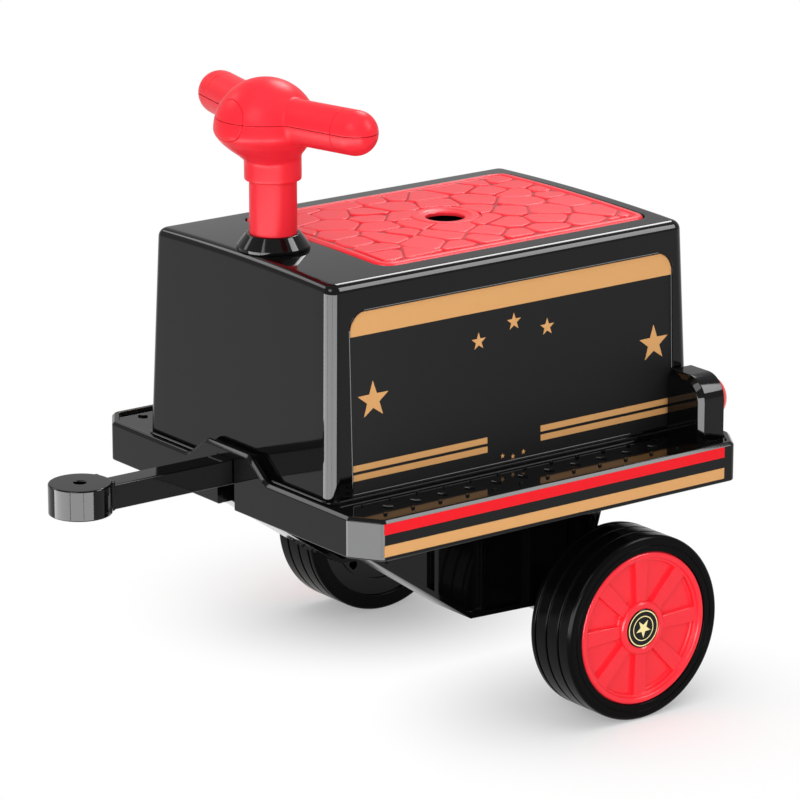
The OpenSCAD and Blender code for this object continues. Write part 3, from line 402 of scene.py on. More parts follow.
# The bead is listed as growth of the outline and lift off the wall
panelSize = {
    "l": 0.318, "h": 0.144, "x": -0.002, "foot": 0.0034, "r": 0.016, "depth": 0.0012,
    "bead": ((0, 0), (-0.0001, 0.0002), (-0.0004, 0.0004), (-0.0008, 0.0003), (-0.001, -0.0002),
             (-0.0011, -0.001), (-0.0013, -0.0012)),
}
bodyEdgeZ = treadZ + bodySize["h"]


def crownAt(y):
    half = bodySize["w"] / 2 - bodySize["lean"]
    return bodySize["crown"] * (1 - min(abs(y) / half, 1) ** 2)


def crowned(loop, drop=0.0):
    return [Vector((p.x, p.y, bodyEdgeZ - drop + crownAt(p.y))) for p in loop]


def level(loop, z):
    return [Vector((p.x, p.y, z)) for p in loop]


def bodyLoop(share, inset, r=None):
    s = bodySize
    inward = s["lean"] * share + inset
    r = max(s["r"] - inset, s["leastR"]) if r is None else r
    return roundedLoop(s["l"] / 2 - inward, s["w"] / 2 - inward, r, midX)


def pocketLoop(grow):
    s = bodySize
    return roundedLoop(s["pocketL"] / 2 + grow, s["pocketW"] / 2 + grow, s["pocketR"] + grow, lidX)


def sidePoint(x, z, lift, side):
    share = (z - treadZ) / bodySize["h"]
    return Vector((midX + x, side * (bodySize["w"] / 2 - bodySize["lean"] * share + lift), z))


def panelOutline(grow):
    s = panelSize
    front, rear = s["x"] + s["l"] / 2 + grow, s["x"] - s["l"] / 2 - grow
    low, high = treadZ + s["foot"] - grow, treadZ + s["foot"] + s["h"] + grow
    return filleted([(front, low), (front, high), (rear, high), (rear, low)], s["r"], 12)


def bodyShell():
    bm = bmesh.new()
    s = bodySize
    rows = [level(bodyLoop(0, -out, s["footR"]), treadZ + up) for out, up in s["foot"]]
    rows += [level(bodyLoop(share, 0), treadZ + up) for share, up in s["wallFoot"]]
    rows += [crowned(bodyLoop(1 - drop / s["h"], inset), drop) for inset, drop in quarter(s["edge"], 9)]
    ends = list(zip(rows[-1], pocketLoop(s["mouth"])))
    rows += [crowned([a.to_2d().lerp(b, k / 8) for a, b in ends]) for k in range(1, 9)]
    rows += [crowned(pocketLoop(grow), drop) for drop, grow in quarter(s["mouth"], 4)[1:]]
    rows += [level(pocketLoop(grow), s["ledgeZ"]) for grow in (0, -s["ledgeW"])]
    loft(bm, rows)
    bmesh.ops.recalc_face_normals(bm, faces=bm.faces)
    return bm


def sinkPanels(bm):
    # Each long wall is taken out, a sunk panel with a fine bead is set in and the wall is closed round it
    s = bodySize
    straight, beyondPocket = s["l"] / 2 - 0.012, 0.1
    belowEdge, halfway = bodyEdgeZ - 0.01, treadZ + s["h"] / 2
    for side in (-1, 1):
        wall = []
        for f in bm.faces:
            c = f.calc_center_median()
            flat = side * f.normal.y > 0.9 and f.calc_area() > 1e-4 and abs(c.x - midX) < straight
            if flat and side * c.y > beyondPocket and c.z < belowEdge:
                wall.append(f)
        rim = [e for f in wall for e in f.edges if len([g for g in e.link_faces if g in wall]) == 1]
        bmesh.ops.delete(bm, geom=wall, context="FACES_ONLY")
        bmesh.ops.delete(bm, geom=[e for e in bm.edges if not e.link_faces], context="EDGES")
        loops = []
        for grow, lift in panelSize["bead"]:
            loops.append([sidePoint(p.x, p.y, lift, side) for p in panelOutline(grow)])
        rows = loft(bm, loops)
        bm.faces.new(rows[-1]).material_index = 1
        rim = sorted(dict.fromkeys(v for e in rim for v in e.verts), key=lambda v: -v.co.x)
        foot = [v for v in rim if v.co.z < halfway]
        head = [v for v in rim if v.co.z > halfway]
        loop = rows[0]
        bm.faces.new([foot[0]] + head + [foot[-1]] + loop[::-1])
        bm.faces.new([loop[0], loop[-1]] + foot[::-1])


def buildBody():
    bm = bodyShell()
    sinkPanels(bm)
    looks = [blackPlastic, panelBlack]
    addPiece("bodyDressed", bm, looks, "chassis", ["body_shell"], sharp=24)


buildBody()
print("body built")

# Printed bands, lines and stars on both sides

printSize = {
    "lift": 0.00012, "band": (0.3318, 0.35), "bandR": 0.0152, "ends": (0.1562, -0.1602),
    "lines": ((0.2267, 0.2316), (0.2194, 0.2243)), "gap": (-0.0263, 0.0263),
    "stars": ((0.1349, 0.2801, 0.0152), (-0.1414, 0.2787, 0.0152), (0.0332, 0.3088, 0.0072),
              (-0.0014, 0.319, 0.0072), (-0.0341, 0.3096, 0.0072), (0.0115, 0.2139, 0.0022),
              (0.0014, 0.2118, 0.0022), (-0.009, 0.2137, 0.0022)),
}
stripeSize = {"bands": ((0.1959, 0.20445), (0.17856, 0.1874)), "rear": -0.1625, "front": 0.1718,
              "lift": 0.0001}


def printShape(bm, outline, side):
    lift, base = printSize["lift"], -panelSize["depth"]
    rows = loft(bm, [[sidePoint(p[0], p[1], base + d, side) for p in outline] for d in (-lift / 2, lift)])
    bm.faces.new(rows[-1])


def buildPrints(side, label):
    s = printSize
    bm = bmesh.new()
    front, rear = s["ends"]
    low, high = s["band"]
    r = s["bandR"]
    printShape(bm, filleted([(front, low), (front, high, r), (rear, high, r), (rear, low)], steps=12), side)
    for low, high in s["lines"]:
        for x0, x1 in ((front, s["gap"][1]), (s["gap"][0], rear)):
            printShape(bm, [(x0, low), (x0, high), (x1, high), (x1, low)], side)
    for x, z, r in s["stars"]:
        printShape(bm, starOutline(r, x, z), side)
    addPiece("panelPrint" + label, bm, [goldPrint], "chassis")


def buildStripes(side, label):
    s = stripeSize
    bm = bmesh.new()
    y0, y1 = sorted(side * (traySize["w"] / 2 + d) for d in (-s["lift"], s["lift"]))
    for slotIndex, (low, high) in enumerate(s["bands"]):
        softBox(bm, (midX + s["rear"], y0, low), (midX + s["front"], y1, high), 0, slotIndex)
    addPiece("trayStripes" + label, bm, [redPrint, goldPrint], "chassis")


for build in (buildPrints, buildStripes):
    for side, label in ((1, "Left"), (-1, "Right")):
        build(side, label)
print("prints made")

# Seat lid: rounded border, cobbles as the CAD lays them, ringed finger hole

# Border, ring edge and mouth are listed as reach and drop
lidSize = {
    "l": 0.262, "w": 0.189, "r": 0.012, "leastR": 0.004, "topZ": 0.3771, "footZ": 0.368, "footW": 0.012,
    "footR": 0.0006, "rimR": 0.003, "relief": 0.0012, "crownR": 2.654, "hole": 0.0155, "ring": 0.0275,
    "ringFoot": 0.0008, "under": 0.04,
    "border": ((0.0052, 0), (0.0058, 0.0001), (0.0064, 0.0005), (0.0068, 0.0009), (0.0074, 0.0012)),
    "ringEdge": ((0.0008, 0.0012), (0.0002, 0.0008), (-0.0004, 0.0002), (-0.0012, 0)),
    "mouth": ((0.0062, 0), (0.0052, 0.0003), (0.0044, 0.0009), (0.002, 0.0011), (0.0008, 0.0014),
              (0.0002, 0.0019), (0, 0.0025), (0, 0.0044), (0.0005, 0.0049), (0.02, 0.0053)),
}
cobbleSize = {
    "cell": (0.034, 0.026), "span": 5, "shift": 0.8, "gap": 0.0012, "tilt": 0.05, "r": 0.0065, "field": 0.009,
    "ringGap": 0.0016, "stub": 0.002, "leastArea": 2e-5,
    "edge": ((0, 0.0014), (0.0001, 0.0007), (0.0006, 0.00025), (0.0015, 0.00005), (0.003, 0)),
}
skirtSize = {"halfL": 0.1183, "halfW": 0.0818, "r": 0.0085, "wall": 0.0025, "footZ": 0.36, "lap": 0.0002}


def scattered(a, b, c):
    v = math.sin(math.radians(a * 127.1 + b * 311.7 + c * 74.7)) * 43758.5
    return v - math.floor(v) - 0.5


def lidZ(y, drop=0.0):
    return lidSize["topZ"] - y * y / (2 * lidSize["crownR"]) - drop


def seed(i, j):
    s = cobbleSize
    return Vector(((i + abs(j % 2) / 2 + s["shift"] * scattered(i, j, 1)) * s["cell"][0],
                   (j + s["shift"] * scattered(i, j, 2)) * s["cell"][1]))


def clipped(points, normal, reach):
    kept = []
    for k, a in enumerate(points):
        b = points[(k + 1) % len(points)]
        da, db = a.dot(normal) - reach, b.dot(normal) - reach
        if da <= 0:
            kept.append(a)
        if da * db < 0:
            kept.append(a.lerp(b, da / (da - db)))
    return kept


def area(points):
    return sum(points[k - 1].x * p.y - p.x * points[k - 1].y for k, p in enumerate(points)) / 2


def cobbleCell(i, j):
    # The seed's cell is what lies nearer to it than to the seeds around it, cut to the field
    s = cobbleSize
    p = seed(i, j)
    wide, deep = 2 * s["cell"][0], 2 * s["cell"][1]
    cell = [p + Vector((x * wide, y * deep)) for x, y in ((1, 1), (-1, 1), (-1, -1), (1, -1))]
    for b in range(-2, 3):
        for a in range(-2, 3):
            away = seed(i + a, j + b) - p
            if away.length > 0:
                normal = away.normalized()
                cell = clipped(cell, normal, (p + away / 2).dot(normal) - s["gap"] / 2)
    fieldX, fieldY = lidSize["l"] / 2 - s["field"], lidSize["w"] / 2 - s["field"]
    for normal, reach in (((1, 0), fieldX), ((-1, 0), fieldX), ((0, 1), fieldY), ((0, -1), fieldY)):
        cell = clipped(cell, Vector(normal), reach) if len(cell) > 2 else []
    return cell


def cobbleOutlines():
    s = cobbleSize
    keepOut = lidSize["ring"] + s["ringGap"]
    span = range(-s["span"], s["span"] + 1)
    made = []
    for j in span:
        for i in span:
            cell = cobbleCell(i, j)
            if len(cell) < 3 or area(cell) < s["leastArea"]:
                continue
            cell = filleted(cell, s["r"], closed=True)
            cell = [p if p.length > keepOut else p.normalized() * keepOut for p in cell]
            if area(cell) > s["leastArea"] and max(p.length for p in cell) > keepOut + s["stub"]:
                made.append((cell, Vector((scattered(i, j, 5), scattered(i, j, 6))) * s["tilt"]))
    return made


def addCobble(bm, cell, tilt):
    c = sum(cell, Vector((0, 0))) / len(cell)
    loops = []
    for inset, drop in cobbleSize["edge"]:
        loop = []
        for p in cell:
            away = p - c
            q = c + away * max(1 - inset / max(away.length, cutGap), 0.2)
            lean = tilt.dot(q - c) if loops else 0
            loop.append(Vector((lidX + q.x, q.y, lidZ(q.y, drop + lean))))
        loops.append(loop)
    bm.faces.new(loft(bm, loops)[-1])


def addSkirt(bm):
    s = skirtSize
    top = lidSize["footZ"] + s["lap"]
    rows = []
    for d, z in ((0, top), (0, s["footZ"]), (s["wall"], s["footZ"]), (s["wall"], top)):
        rows.append(level(roundedLoop(s["halfL"] - d, s["halfW"] - d, s["r"] - d / 2, lidX, side=12), z))
    loft(bm, rows)


def buildLid():
    bm = bmesh.new()
    s = lidSize

    def placed(loop, drop, z):
        return [Vector((lidX + p.x, p.y, lidZ(p.y, drop) if z is None else z)) for p in loop]

    def row(inset, drop, z=None):
        r = max(s["r"] - inset, s["leastR"])
        return placed(roundedLoop(s["l"] / 2 - inset, s["w"] / 2 - inset, r), drop, z)

    def ringRow(radius, drop, z=None):
        loop = roundedLoop(s["l"] / 2, s["w"] / 2, s["r"])
        return placed([p.normalized() * radius for p in loop], drop, z)

    foot = s["footZ"]
    rows = [row(s["footW"], 0, foot), row(s["footR"], 0, foot), row(0, 0, foot + s["footR"])]
    rows += [row(inset, drop) for inset, drop in quarter(s["rimR"], 6) + list(s["border"])]
    loft(bm, rows)
    ends = list(zip(rows[-1], ringRow(s["ring"] + s["ringFoot"], 0)))
    rows = []
    for k in range(9):
        flat = [a.to_2d().lerp(b.to_2d(), k / 8) for a, b in ends]
        rows.append([Vector((p.x, p.y, lidZ(p.y, s["relief"]))) for p in flat])
    # The ground between the border, the ring and the cobbles takes the darker red: painted shade in the gaps
    loft(bm, rows, 1)
    rows = [ringRow(s["ring"] + out, drop) for out, drop in s["ringEdge"]]
    rows += [ringRow(s["hole"] + out, drop) for out, drop in s["mouth"]]
    loft(bm, rows + [ringRow(s["under"], 0, foot)])
    bmesh.ops.remove_doubles(bm, verts=bm.verts, dist=weldGap)
    for cell, tilt in cobbleOutlines():
        addCobble(bm, cell, tilt)
    addSkirt(bm)
    addPiece("lidDressed", bm, [seatRed, seatGapShade], "lid", ["seat_lid"], sharp=50)


buildLid()
print("lid built")

# Handle: base ring, post and a smooth two-part head

handleSize = {
    "x": midX + 0.1415, "topZ": 0.3761, "post": 0.0185, "bore": 0.0136, "postFoot": 0.336, "postTop": 0.4455,
    "postR": 0.0006, "base": ((0.0187, 0), (0.0285, 0, 0.0003), (0.0285, 0.0025, 0.0008),
                              (0.02125, 0.012, 0.0014), (0.0187, 0.012, 0.0004), (0.0187, 0)),
}
# The taper under the ball is listed as depth, share of the ball's radius and shift to the rear
headSize = {
    "ballX": midX + 0.148, "ballZ": 0.47, "ball": 0.0402, "ballLap": 0.0005, "collar": 0.0222,
    "collarZ": (0.43, 0.456), "seamZ": 0.4804, "seamGap": 0.00022, "seamIn": 0.0014, "grip": 0.0175,
    "end": (-0.02, 0.0887), "ringBack": 0.011, "ballReach": 0.05, "capTilt": 15, "capOut": 0.0359,
    "groove": (0.0005, 0.001), "voxel": 0.0009, "rounds": 8,
    "taper": ((0, 1, 0), (0.0025, 0.982, 0), (0.005, 0.945, 0), (0.01, 0.852, 0.0006),
              (0.015, 0.735, 0.0018), (0.0195, 0.62, 0.0035), (0.023, 0.555, 0.005)),
}
seamMid = Vector((headSize["ballX"], 0, headSize["seamZ"]))


def buildPost():
    s = handleSize
    bm = bmesh.new()
    foot, top = s["postFoot"], s["postTop"]
    post = filleted([(s["bore"], foot), (s["post"], foot), (s["post"], top), (0, top)], s["postR"], 3)
    spun(bm, post, Matrix.Translation((s["x"], 0, 0)))
    addPiece("postDressed", bm, [redPlastic], "chassis", ["handle_post"])
    bm = bmesh.new()
    spun(bm, filleted(s["base"], steps=4), Matrix.Translation((s["x"], 0, s["topZ"])))
    addPiece("baseDressed", bm, [blackPlastic], "chassis", ["handle_base"])


def everything(bm):
    return bm.verts[:] + bm.edges[:] + bm.faces[:]


def gripWay(side):
    return Vector((headSize["end"][0], side * headSize["end"][1], 0))


def upperBall():
    s = headSize
    made = bmesh.new()
    bmesh.ops.create_uvsphere(made, u_segments=96, v_segments=48, radius=s["ball"])
    bmesh.ops.bisect_plane(made, geom=everything(made), plane_co=(0, 0, -s["ballLap"]),
                           plane_no=(0, 0, -1), clear_outer=True)
    bmesh.ops.holes_fill(made, edges=[e for e in made.edges if e.is_boundary])
    made.transform(Matrix.Translation((s["ballX"], 0, s["ballZ"])))
    return made


def lowerBall():
    s = headSize
    made = bmesh.new()
    ways = [Vector((math.cos(a), math.sin(a), 0)) for a in (2 * math.pi * k / 96 for k in range(96))]
    loops = []
    for down, share, back in s["taper"]:
        middle = Vector((s["ballX"] - back, 0, s["ballZ"] - down))
        loops.append([middle + s["ball"] * share * way for way in ways])
    rows = loft(made, loops)
    made.faces.new(rows[0])
    made.faces.new(rows[-1])
    bmesh.ops.recalc_face_normals(made, faces=made.faces)
    return made


def headBlank():
    s = headSize
    bm = bmesh.new()
    joinBm(bm, upperBall())
    joinBm(bm, lowerBall())
    low, high = s["collarZ"]
    collar = [(0, low), (s["collar"], low), (s["collar"], high), (0, high)]
    spun(bm, collar, Matrix.Translation((handleSize["x"], 0, 0)))
    r = s["grip"]
    for side in (-1, 1):
        way = gripWay(side)
        turn = way.to_track_quat("Z", "Y").to_matrix().to_4x4()
        angles = [math.pi / 2 * k / 16 for k in range(17)]
        dome = [(r * math.cos(a), way.length + r * math.sin(a)) for a in angles]
        spun(bm, [(0, 0), (r, 0)] + dome, Matrix.Translation(seamMid) @ turn, 64)
    return bm


def remeshed(bm, voxel, rounds):
    mesh = bpy.data.meshes.new("blank")
    bm.to_mesh(mesh)
    bm.free()
    blank = bpy.data.objects.new("blank", mesh)
    bpy.context.scene.collection.objects.link(blank)
    change = blank.modifiers.new("voxel", "REMESH")
    change.mode = "VOXEL"
    change.voxel_size = voxel
    made = bmesh.new()
    made.from_object(blank, bpy.context.evaluated_depsgraph_get())
    bpy.data.objects.remove(blank)
    bpy.data.meshes.remove(mesh)
    for _ in range(rounds):
        bmesh.ops.smooth_vert(made, verts=made.verts, factor=0.5,
                              use_axis_x=True, use_axis_y=True, use_axis_z=True)
    return made


def cutRing(bm, point, way, keep):
    # Three cuts side by side; the middle one is drawn in to make a groove
    width, depth = headSize["groove"]
    for d in (-width, width, 0):
        cut = bmesh.ops.bisect_plane(bm, geom=everything(bm), dist=cutGap,
                                     plane_co=point + way * d, plane_no=way)
    bm.normal_update()
    for v in parts(cut["geom_cut"], bmesh.types.BMVert):
        if keep(v.co):
            v.co -= v.normal * depth


def buildHead():
    s = headSize
    bm = remeshed(headBlank(), s["voxel"], s["rounds"])
    for side in (-1, 1):
        way = gripWay(side)
        point = seamMid + way * (1 - s["ringBack"] / way.length)
        cutRing(bm, point, way.normalized(), lambda p, side=side: side * p.y > s["ballReach"])
    tilt = math.radians(s["capTilt"])
    capWay = Vector((math.cos(tilt), 0, math.sin(tilt)))
    cutRing(bm, Vector((s["ballX"], 0, s["ballZ"])) + capWay * s["capOut"], capWay, lambda p: True)
    bmesh.ops.bisect_plane(bm, geom=everything(bm), dist=cutGap, plane_co=seamMid, plane_no=(0, 0, 1))
    halves = ((bm, 1, "headUpper", "handle_upper_shell"), (bm.copy(), -1, "headLower", "handle_lower_shell"))
    for part, way, name, node in halves:
        gone = [f for f in part.faces if way * (f.calc_center_median().z - s["seamZ"]) < 0]
        bmesh.ops.delete(part, geom=gone, context="FACES")
        part.normal_update()
        rim = [e for e in part.edges if e.is_boundary]
        for v in dict.fromkeys(v for e in rim for v in e.verts):
            v.co += Vector((-v.normal.x, -v.normal.y, way)) * s["seamGap"]
        made = bmesh.ops.extrude_edge_only(part, edges=rim)["geom"]
        for v in parts(made, bmesh.types.BMVert):
            v.co -= Vector((v.normal.x, v.normal.y, 0)) * s["seamIn"]
        addPiece(name, part, [redPlastic], "chassis", [node], sharp=60, fix=False)


buildPost()
buildHead()
print("handle built")

# Wheels: tyre, spoked rim, badge; the inner halves stay as the CAD has them

# Profiles are listed as radius, height from the wheel's outer face and fillet
wheelSpan = 0.194
tyreSize = {
    "r": 0.075, "w": 0.049, "shoulder": 0.004, "bore": 0.0622, "seat": 0.0581, "flange": 0.0062,
    "boreR": 0.0006, "seatR": 0.0003, "grooves": (0.29, 0.58, 0.86), "grooveD": 0.0016,
    "grooveTop": (0.0011, 0.0006), "grooveFoot": (0.0008, 0.0003),
    "line": ((0.067, 0, 0.0002), (0.0671, -0.0006, 0.0002), (0.0679, -0.0006, 0.0002), (0.068, 0, 0.0002)),
}
rimSize = {
    "hub": ((0.0129, -0.014), (0.0129, -0.0041), (0.0158, -0.0041), (0.0158, -0.0012, 0.0004),
            (0.0168, -0.0004, 0.0005), (0.0202, -0.0003, 0.001), (0.0215, -0.0018, 0.0012)),
    "web": ((0.0215, -0.007, 0.0012), (0.0545, -0.007, 0.0014)),
    "outer": ((0.0547, -0.003, 0.0005), (0.0562, -0.0029, 0.0005), (0.0572, -0.0002, 0.0016),
              (0.0608, -0.0001, 0.0018), (0.062, -0.002, 0.0012), (0.062, -0.006)),
    "spoke": ((0.0205, -0.005), (0.0552, -0.0065), (0.0552, 0.0065), (0.0205, 0.005)),
    "spokes": 8, "spokeFoot": -0.0072, "spokeH": 0.0041, "spokeR": 0.0007,
}
badgeSize = {
    "z": -0.0006, "rings": (0, 0.0094, 0.0102, 0.0137, 0.0146, 0.0149), "star": 0.0076, "starZ": -0.0008,
    "starH": 0.0004, "edge": ((0.0149, -0.0006), (0.0154, -0.0009), (0.0155, -0.0014), (0.0155, -0.0038)),
}


def wheelPlace(side):
    turn = Matrix(((1, 0, 0, 0), (0, 0, 1, 0), (0, -1, 0, 0), (0, 0, 0, 1)))
    return Matrix.Diagonal((1, side, 1, 1)) @ Matrix.Translation((axle.x, wheelSpan, axle.z)) @ turn


def tyreProfile():
    s = tyreSize
    r, w, bore, seat, flange = s["r"], s["w"], s["bore"], s["seat"], s["flange"]
    points = [(seat, -flange), (bore, -flange, s["seatR"]), (bore, 0, s["boreR"]), *s["line"]]
    points.append((r, 0, s["shoulder"]))
    for share in s["grooves"]:
        for side in (1, -1):
            (top, topR), (foot, footR) = s["grooveTop"], s["grooveFoot"]
            ends = [(r, side * top - share * w, topR), (r - s["grooveD"], side * foot - share * w, footR)]
            points += ends[::side]
    points += [(r, -w, s["shoulder"]), (bore, -w, s["boreR"]), (bore, flange - w, s["seatR"])]
    points.append((seat, flange - w))
    return filleted(points)


def buildTyre(place, body, label):
    bm = bmesh.new()
    spun(bm, tyreProfile(), place, 144)
    addPiece("tyre" + label.capitalize(), bm, [rubber], body, ["tyre_" + label], fix=False)


def buildRim(place, body, label):
    s = rimSize
    bm = bmesh.new()
    spun(bm, filleted(s["hub"] + s["web"] + s["outer"]), place, 144)
    foot = Matrix.Translation((0, 0, s["spokeFoot"]))
    for k in range(s["spokes"]):
        turn = Matrix.Rotation(2 * math.pi * k / s["spokes"], 4, "Z")
        prism(bm, s["spoke"], place @ turn @ foot, s["spokeH"], s["spokeR"])
    addPiece("rim" + label.capitalize(), bm, [rimRed], body, ["rim_" + label], fix=False)


def buildBadge(place, body, label):
    s = badgeSize
    bm = bmesh.new()
    for k, (a, b) in enumerate(zip(s["rings"], s["rings"][1:])):
        spun(bm, [(a, s["z"]), (b, s["z"])], place, 64, k % 2)
    spun(bm, s["edge"], place, 64)
    bmesh.ops.remove_doubles(bm, verts=bm.verts, dist=cutGap)
    starPlace = place @ Matrix.Translation((0, 0, s["starZ"]))
    prism(bm, starOutline(s["star"]), starPlace, s["starH"], slotIndex=1)
    looks = [blackPlastic, creamPrint]
    addPiece("badge" + label.capitalize(), bm, looks, body, ["hub_badge_" + label], fix=False)


for side, label in ((1, "left"), (-1, "right")):
    for build in (buildTyre, buildRim, buildBadge):
        build(wheelPlace(side), "wheel_" + label, label)
print("wheels built")

# Tow bar with softened edges and its eye

barSize = {"end": midX + 0.0705, "eye": midX + 0.3225, "z": 0.1963, "h": 0.02, "w": 0.01, "edgeR": 0.0012,
           "eyeR": 0.0245, "eyeH": 0.024, "hole": 0.0049, "footR": 0.001, "topR": 0.0014, "holeR": 0.0008,
           "neck": (0.024, 0.019, 0.013), "neckR": 0.0016, "neckIn": 0.0001}


def buildBar():
    s = barSize
    bm = bmesh.new()
    far, near, wide = s["neck"]
    z, w, eye, neckIn = s["z"], s["w"], s["eye"], s["neckIn"]
    top = z + s["eyeH"] - neckIn
    softBox(bm, (s["end"], -w, z), (eye - near, w, z + s["h"]), s["edgeR"], segments=3)
    softBox(bm, (eye - far, -wide, z + neckIn), (eye - near, wide, top), s["neckR"], segments=3)
    hole, reach, high = s["hole"], s["eyeR"], s["eyeH"]
    profile = [(hole, 0), (reach, 0, s["footR"]), (reach, high, s["topR"]), (hole, high, s["holeR"]),
               (hole, 0, s["holeR"])]
    spun(bm, filleted(profile, steps=4), Matrix.Translation((eye, 0, z)))
    addPiece("barDressed", bm, [blackPlastic], "chassis", ["tow_bar"], fix=False)


buildBar()

# Rear lamps

podSize = {"inner": 0.125, "reach": 0.166, "top": 0.2565, "r": 0.03, "rear": midX - 0.176, "l": 0.024,
           "bevel": 0.0042, "edgeR": 0.0006}
lensSize = {"y": 0.1475, "z": 0.2356, "r": 0.0185, "out": 0.0122, "foot": (-0.0004, -0.0002)}


def buildPod(side, label):
    s = podSize
    near, out, top = s["inner"], s["reach"], s["top"]
    corners = [(near, treadZ), (out, treadZ), (out, top, s["r"]), (near, top)]
    made = bmesh.new()
    far = [e for e in extruded(made, filleted(corners, steps=20, closed=True), s["l"])
           if max(v.co.x for v in e.verts) > near + hair and max(v.co.y for v in e.verts) > treadZ + hair]
    softened(made, far, s["bevel"], 1)
    softened(made, [e for e in made.edges if e.calc_face_angle(0) > math.radians(30)], s["edgeR"])
    bmesh.ops.recalc_face_normals(made, faces=made.faces)
    turn = Matrix(((0, 0, 1, s["rear"]), (1, 0, 0, 0), (0, 1, 0, 0), (0, 0, 0, 1)))
    bm = bmesh.new()
    joinBm(bm, made, Matrix.Diagonal((1, side, 1, 1)) @ turn)
    stands = ["lamp_pod_" + label]
    addPiece("pod" + label.capitalize(), bm, [blackPlastic], "chassis", stands, fix=False)


def buildLens(side, label):
    s = lensSize
    r, out = s["r"], s["out"]
    dome = (r ** 2 + out ** 2) / (2 * out)
    angles = [math.asin(r / dome) * k / 24 for k in range(25)]
    profile = [(dome * math.sin(a), out - dome + dome * math.cos(a)) for a in angles]
    profile.append((r + s["foot"][0], s["foot"][1]))
    turn = Matrix(((0, 0, -1, podSize["rear"]), (1, 0, 0, s["y"]), (0, -1, 0, s["z"]), (0, 0, 0, 1)))
    bm = bmesh.new()
    spun(bm, profile, Matrix.Diagonal((1, side, 1, 1)) @ turn)
    stands = ["lamp_lens_" + label]
    addPiece("lens" + label.capitalize(), bm, [lensRed], "chassis", stands, fix=False)


for side, label in ((1, "left"), (-1, "right")):
    buildPod(side, label)
    buildLens(side, label)
print("bar and pods built")

# CAD nodes that are shown as they are get their finish here

finishes = {
    blackPlastic: ["storage_tub", "leg_left", "leg_right", "wheel_inner_left", "wheel_inner_right"],
    steelLook: ["axle", "axle_washers", "axle_nuts", "tow_bar_bolts", "handle_screws", "post_bolt",
                "leg_screws", "body_screws", "lamp_screws", "wheel_screws_left", "wheel_screws_right"],
    nylonLook: ["bush_left", "bush_right"],
}
for material, names in finishes.items():
    for name in names:
        nodes[name].data.materials.clear()
        nodes[name].data.materials.append(material)
legEdge = {"width": 0.0008, "segments": 2, "limit_method": "ANGLE", "angle_limit": math.radians(40),
           "harden_normals": True}
for name in ("leg_left", "leg_right"):
    nodes[name].modifiers.new("merge", "WELD").merge_threshold = cutGap
    soften = nodes[name].modifiers.new("soften", "BEVEL")
    for setting, value in legEdge.items():
        setattr(soften, setting, value)
print("finishes given")

# Floor, light and camera

# The floor's fade runs from the wheels' feet outward: two distances and the shares of white there
stageSize = {"floor": 40.0, "drop": 0.0002, "world": 0.6, "fade": (0.03, 0.22, 0.3, 1.0), "wheelY": 0.185,
             "camera": (2.05535, 2.8104, 1.2523), "ahead": (-0.5775, -0.7674, -0.2785), "lens": 207.75}
lowCards = {"angles": (-20, 24, 68), "middle": (0.09, 0.115, 0.15), "aim": (0.09, 0.115, 0.16), "reach": 0.45,
            "size": (0.35, 0.29), "power": 4.5}


def paleFloor():
    # Camera, glossy and transmission rays see part of the floor as plain white glow; that share grows away
    # from the wheels' feet, so the glow is painted light that whitens the floor's shadow under the body and
    # keeps the shadow only near the wheels
    material = moulded("floorPale", (0.93, 0.93, 0.93), 0.9, vary=0.02, depth=0.0, IOR=1.1)
    tree = material.node_tree
    n = tree.nodes
    path, glow, mix = n.new("ShaderNodeLightPath"), n.new("ShaderNodeEmission"), n.new("ShaderNodeMixShader")
    where, fade = n.new("ShaderNodeTexCoord"), n.new("ShaderNodeMapRange")
    here = where.outputs["Object"]
    wheelFoot = (0, stageSize["wheelY"], axle.z)
    toWheel = (("SUBTRACT", axle), ("ABSOLUTE", None), ("SUBTRACT", wheelFoot), ("LENGTH", None))
    for action, by in toWheel:
        step = n.new("ShaderNodeVectorMath")
        step.operation = action
        link(tree, here, step.inputs[0])
        here = next(socket for socket in step.outputs if socket.enabled)
        if by:
            step.inputs[1].default_value = by
    first, second, share = (n.new("ShaderNodeMath") for _ in range(3))
    first.operation = second.operation = "MAXIMUM"
    share.operation = "MULTIPLY"
    fade.interpolation_type = "SMOOTHSTEP"
    for socket, value in zip(("From Min", "From Max", "To Min", "To Max"), stageSize["fade"]):
        fade.inputs[socket].default_value = value
    link(tree, here, fade.inputs["Value"])
    # Painted light: the glow's share follows the distance from the wheels' feet
    link(tree, fade.outputs[0], share.inputs[1])
    link(tree, path.outputs["Is Camera Ray"], first.inputs[0])
    link(tree, path.outputs["Is Glossy Ray"], first.inputs[1])
    link(tree, first.outputs[0], second.inputs[0])
    link(tree, path.outputs["Is Transmission Ray"], second.inputs[1])
    link(tree, second.outputs[0], share.inputs[0])
    link(tree, share.outputs[0], mix.inputs["Fac"])
    link(tree, n["Principled BSDF"].outputs[0], mix.inputs[1])
    link(tree, glow.outputs[0], mix.inputs[2])
    link(tree, mix.outputs[0], n["Material Output"].inputs["Surface"])
    return material


def buildStage():
    bm = bmesh.new()
    bmesh.ops.create_grid(bm, x_segments=1, y_segments=1, size=stageSize["floor"] / 2)
    bmesh.ops.translate(bm, vec=(0, 0, -stageSize["drop"]), verts=bm.verts)
    mesh = bpy.data.meshes.new("floor")
    bm.to_mesh(mesh)
    bm.free()
    floor = bpy.data.objects.new("floor", mesh)
    bpy.context.scene.collection.objects.link(floor)
    mesh.materials.append(paleFloor())


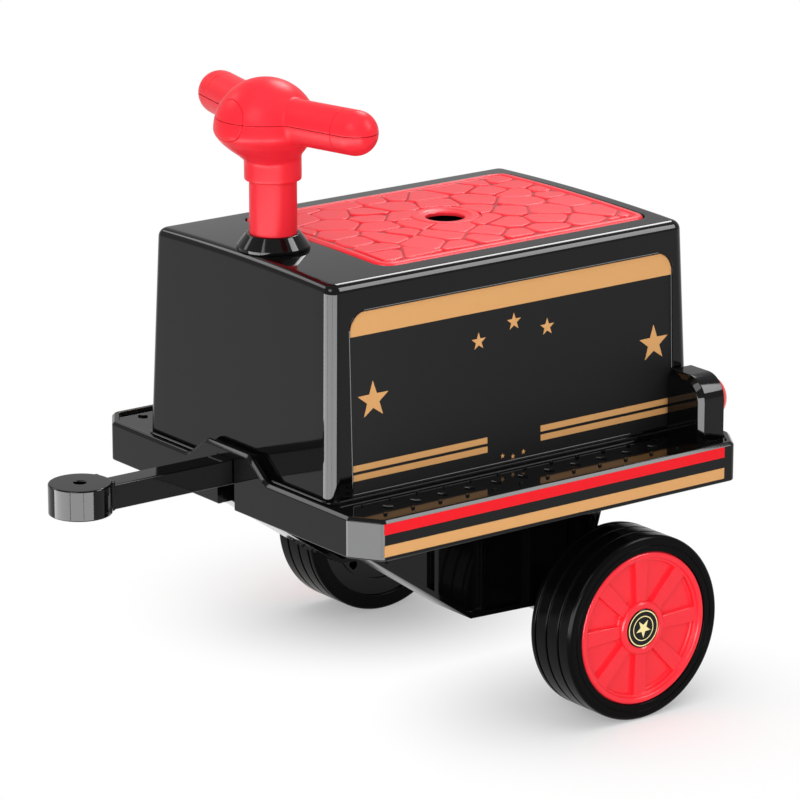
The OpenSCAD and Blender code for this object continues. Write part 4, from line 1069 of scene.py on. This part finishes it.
def areaLight(name, place, aim, size, power, card=False, roll=0.0):
    # A card only shows in reflections, the other lamps only light
    data = bpy.data.lights.new(name, "AREA")
    data.energy = power
    data.shape = "RECTANGLE"
    data.size, data.size_y = size
    lamp = bpy.data.objects.new(name, data)
    bpy.context.scene.collection.objects.link(lamp)
    lamp.location = place
    lamp.rotation_mode = "QUATERNION"
    turn = (Vector(aim) - Vector(place)).to_track_quat("-Z", "Y")
    lamp.rotation_quaternion = turn @ Quaternion((0, 0, 1), roll)
    lamp.visible_camera = False
    lamp.visible_diffuse = not card
    lamp.visible_glossy = card


def buildWorld():
    world = bpy.data.worlds.new("studio")
    bpy.context.scene.world = world
    world.use_nodes = True
    back = world.node_tree.nodes["Background"]
    back.inputs["Color"].default_value = (1, 1, 1, 1)
    back.inputs["Strength"].default_value = stageSize["world"]


def buildCamera():
    data = bpy.data.cameras.new("camera")
    data.sensor_width = 36
    data.lens = stageSize["lens"]
    data.clip_start, data.clip_end = 0.1, 100
    camera = bpy.data.objects.new("camera", data)
    bpy.context.scene.collection.objects.link(camera)
    camera.location = stageSize["camera"]
    camera.rotation_mode = "QUATERNION"
    camera.rotation_quaternion = Vector(stageSize["ahead"]).to_track_quat("-Z", "Y")
    bpy.context.scene.camera = camera


buildStage()
buildWorld()
topEdge = (-0.08, 0.13, 0.37)
areaLight("topSoft", (0.2, 0.3, 2.4), (0, 0, 0.3), (2.2, 2.2), power=22)
areaLight("frontSoft", (2.0, 2.2, 1.5), (0, 0, 0.25), (1.8, 1.8), power=45)
areaLight("stripCard", (-1.41, 1.385, 1.766), topEdge, (0.8, 1.5), power=50, card=True, roll=-0.52)
areaLight("edgeCard", (-1.35, -0.92, 1.83), topEdge, (0.6, 0.8), power=20, card=True, roll=0.66)
areaLight("podCard", (1.23, 0.49, 1.55), (-0.25, 0.16, 0.24), (0.8, 0.8), power=13, card=True)
areaLight("farCard", (0.8, -1.9, 1.8), (0.1, 0, 0.37), (1.2, 0.5), power=8, card=True)
for k, angle in enumerate(lowCards["angles"]):
    away = Matrix.Rotation(math.radians(angle), 3, "Z") @ Vector((lowCards["reach"], 0, 0))
    place = Vector(lowCards["middle"]) + away
    areaLight("lowCard%d" % k, place, lowCards["aim"], lowCards["size"], lowCards["power"], card=True)
buildCamera()
bpy.context.scene.view_settings.view_transform = "Standard"
print("stage set")
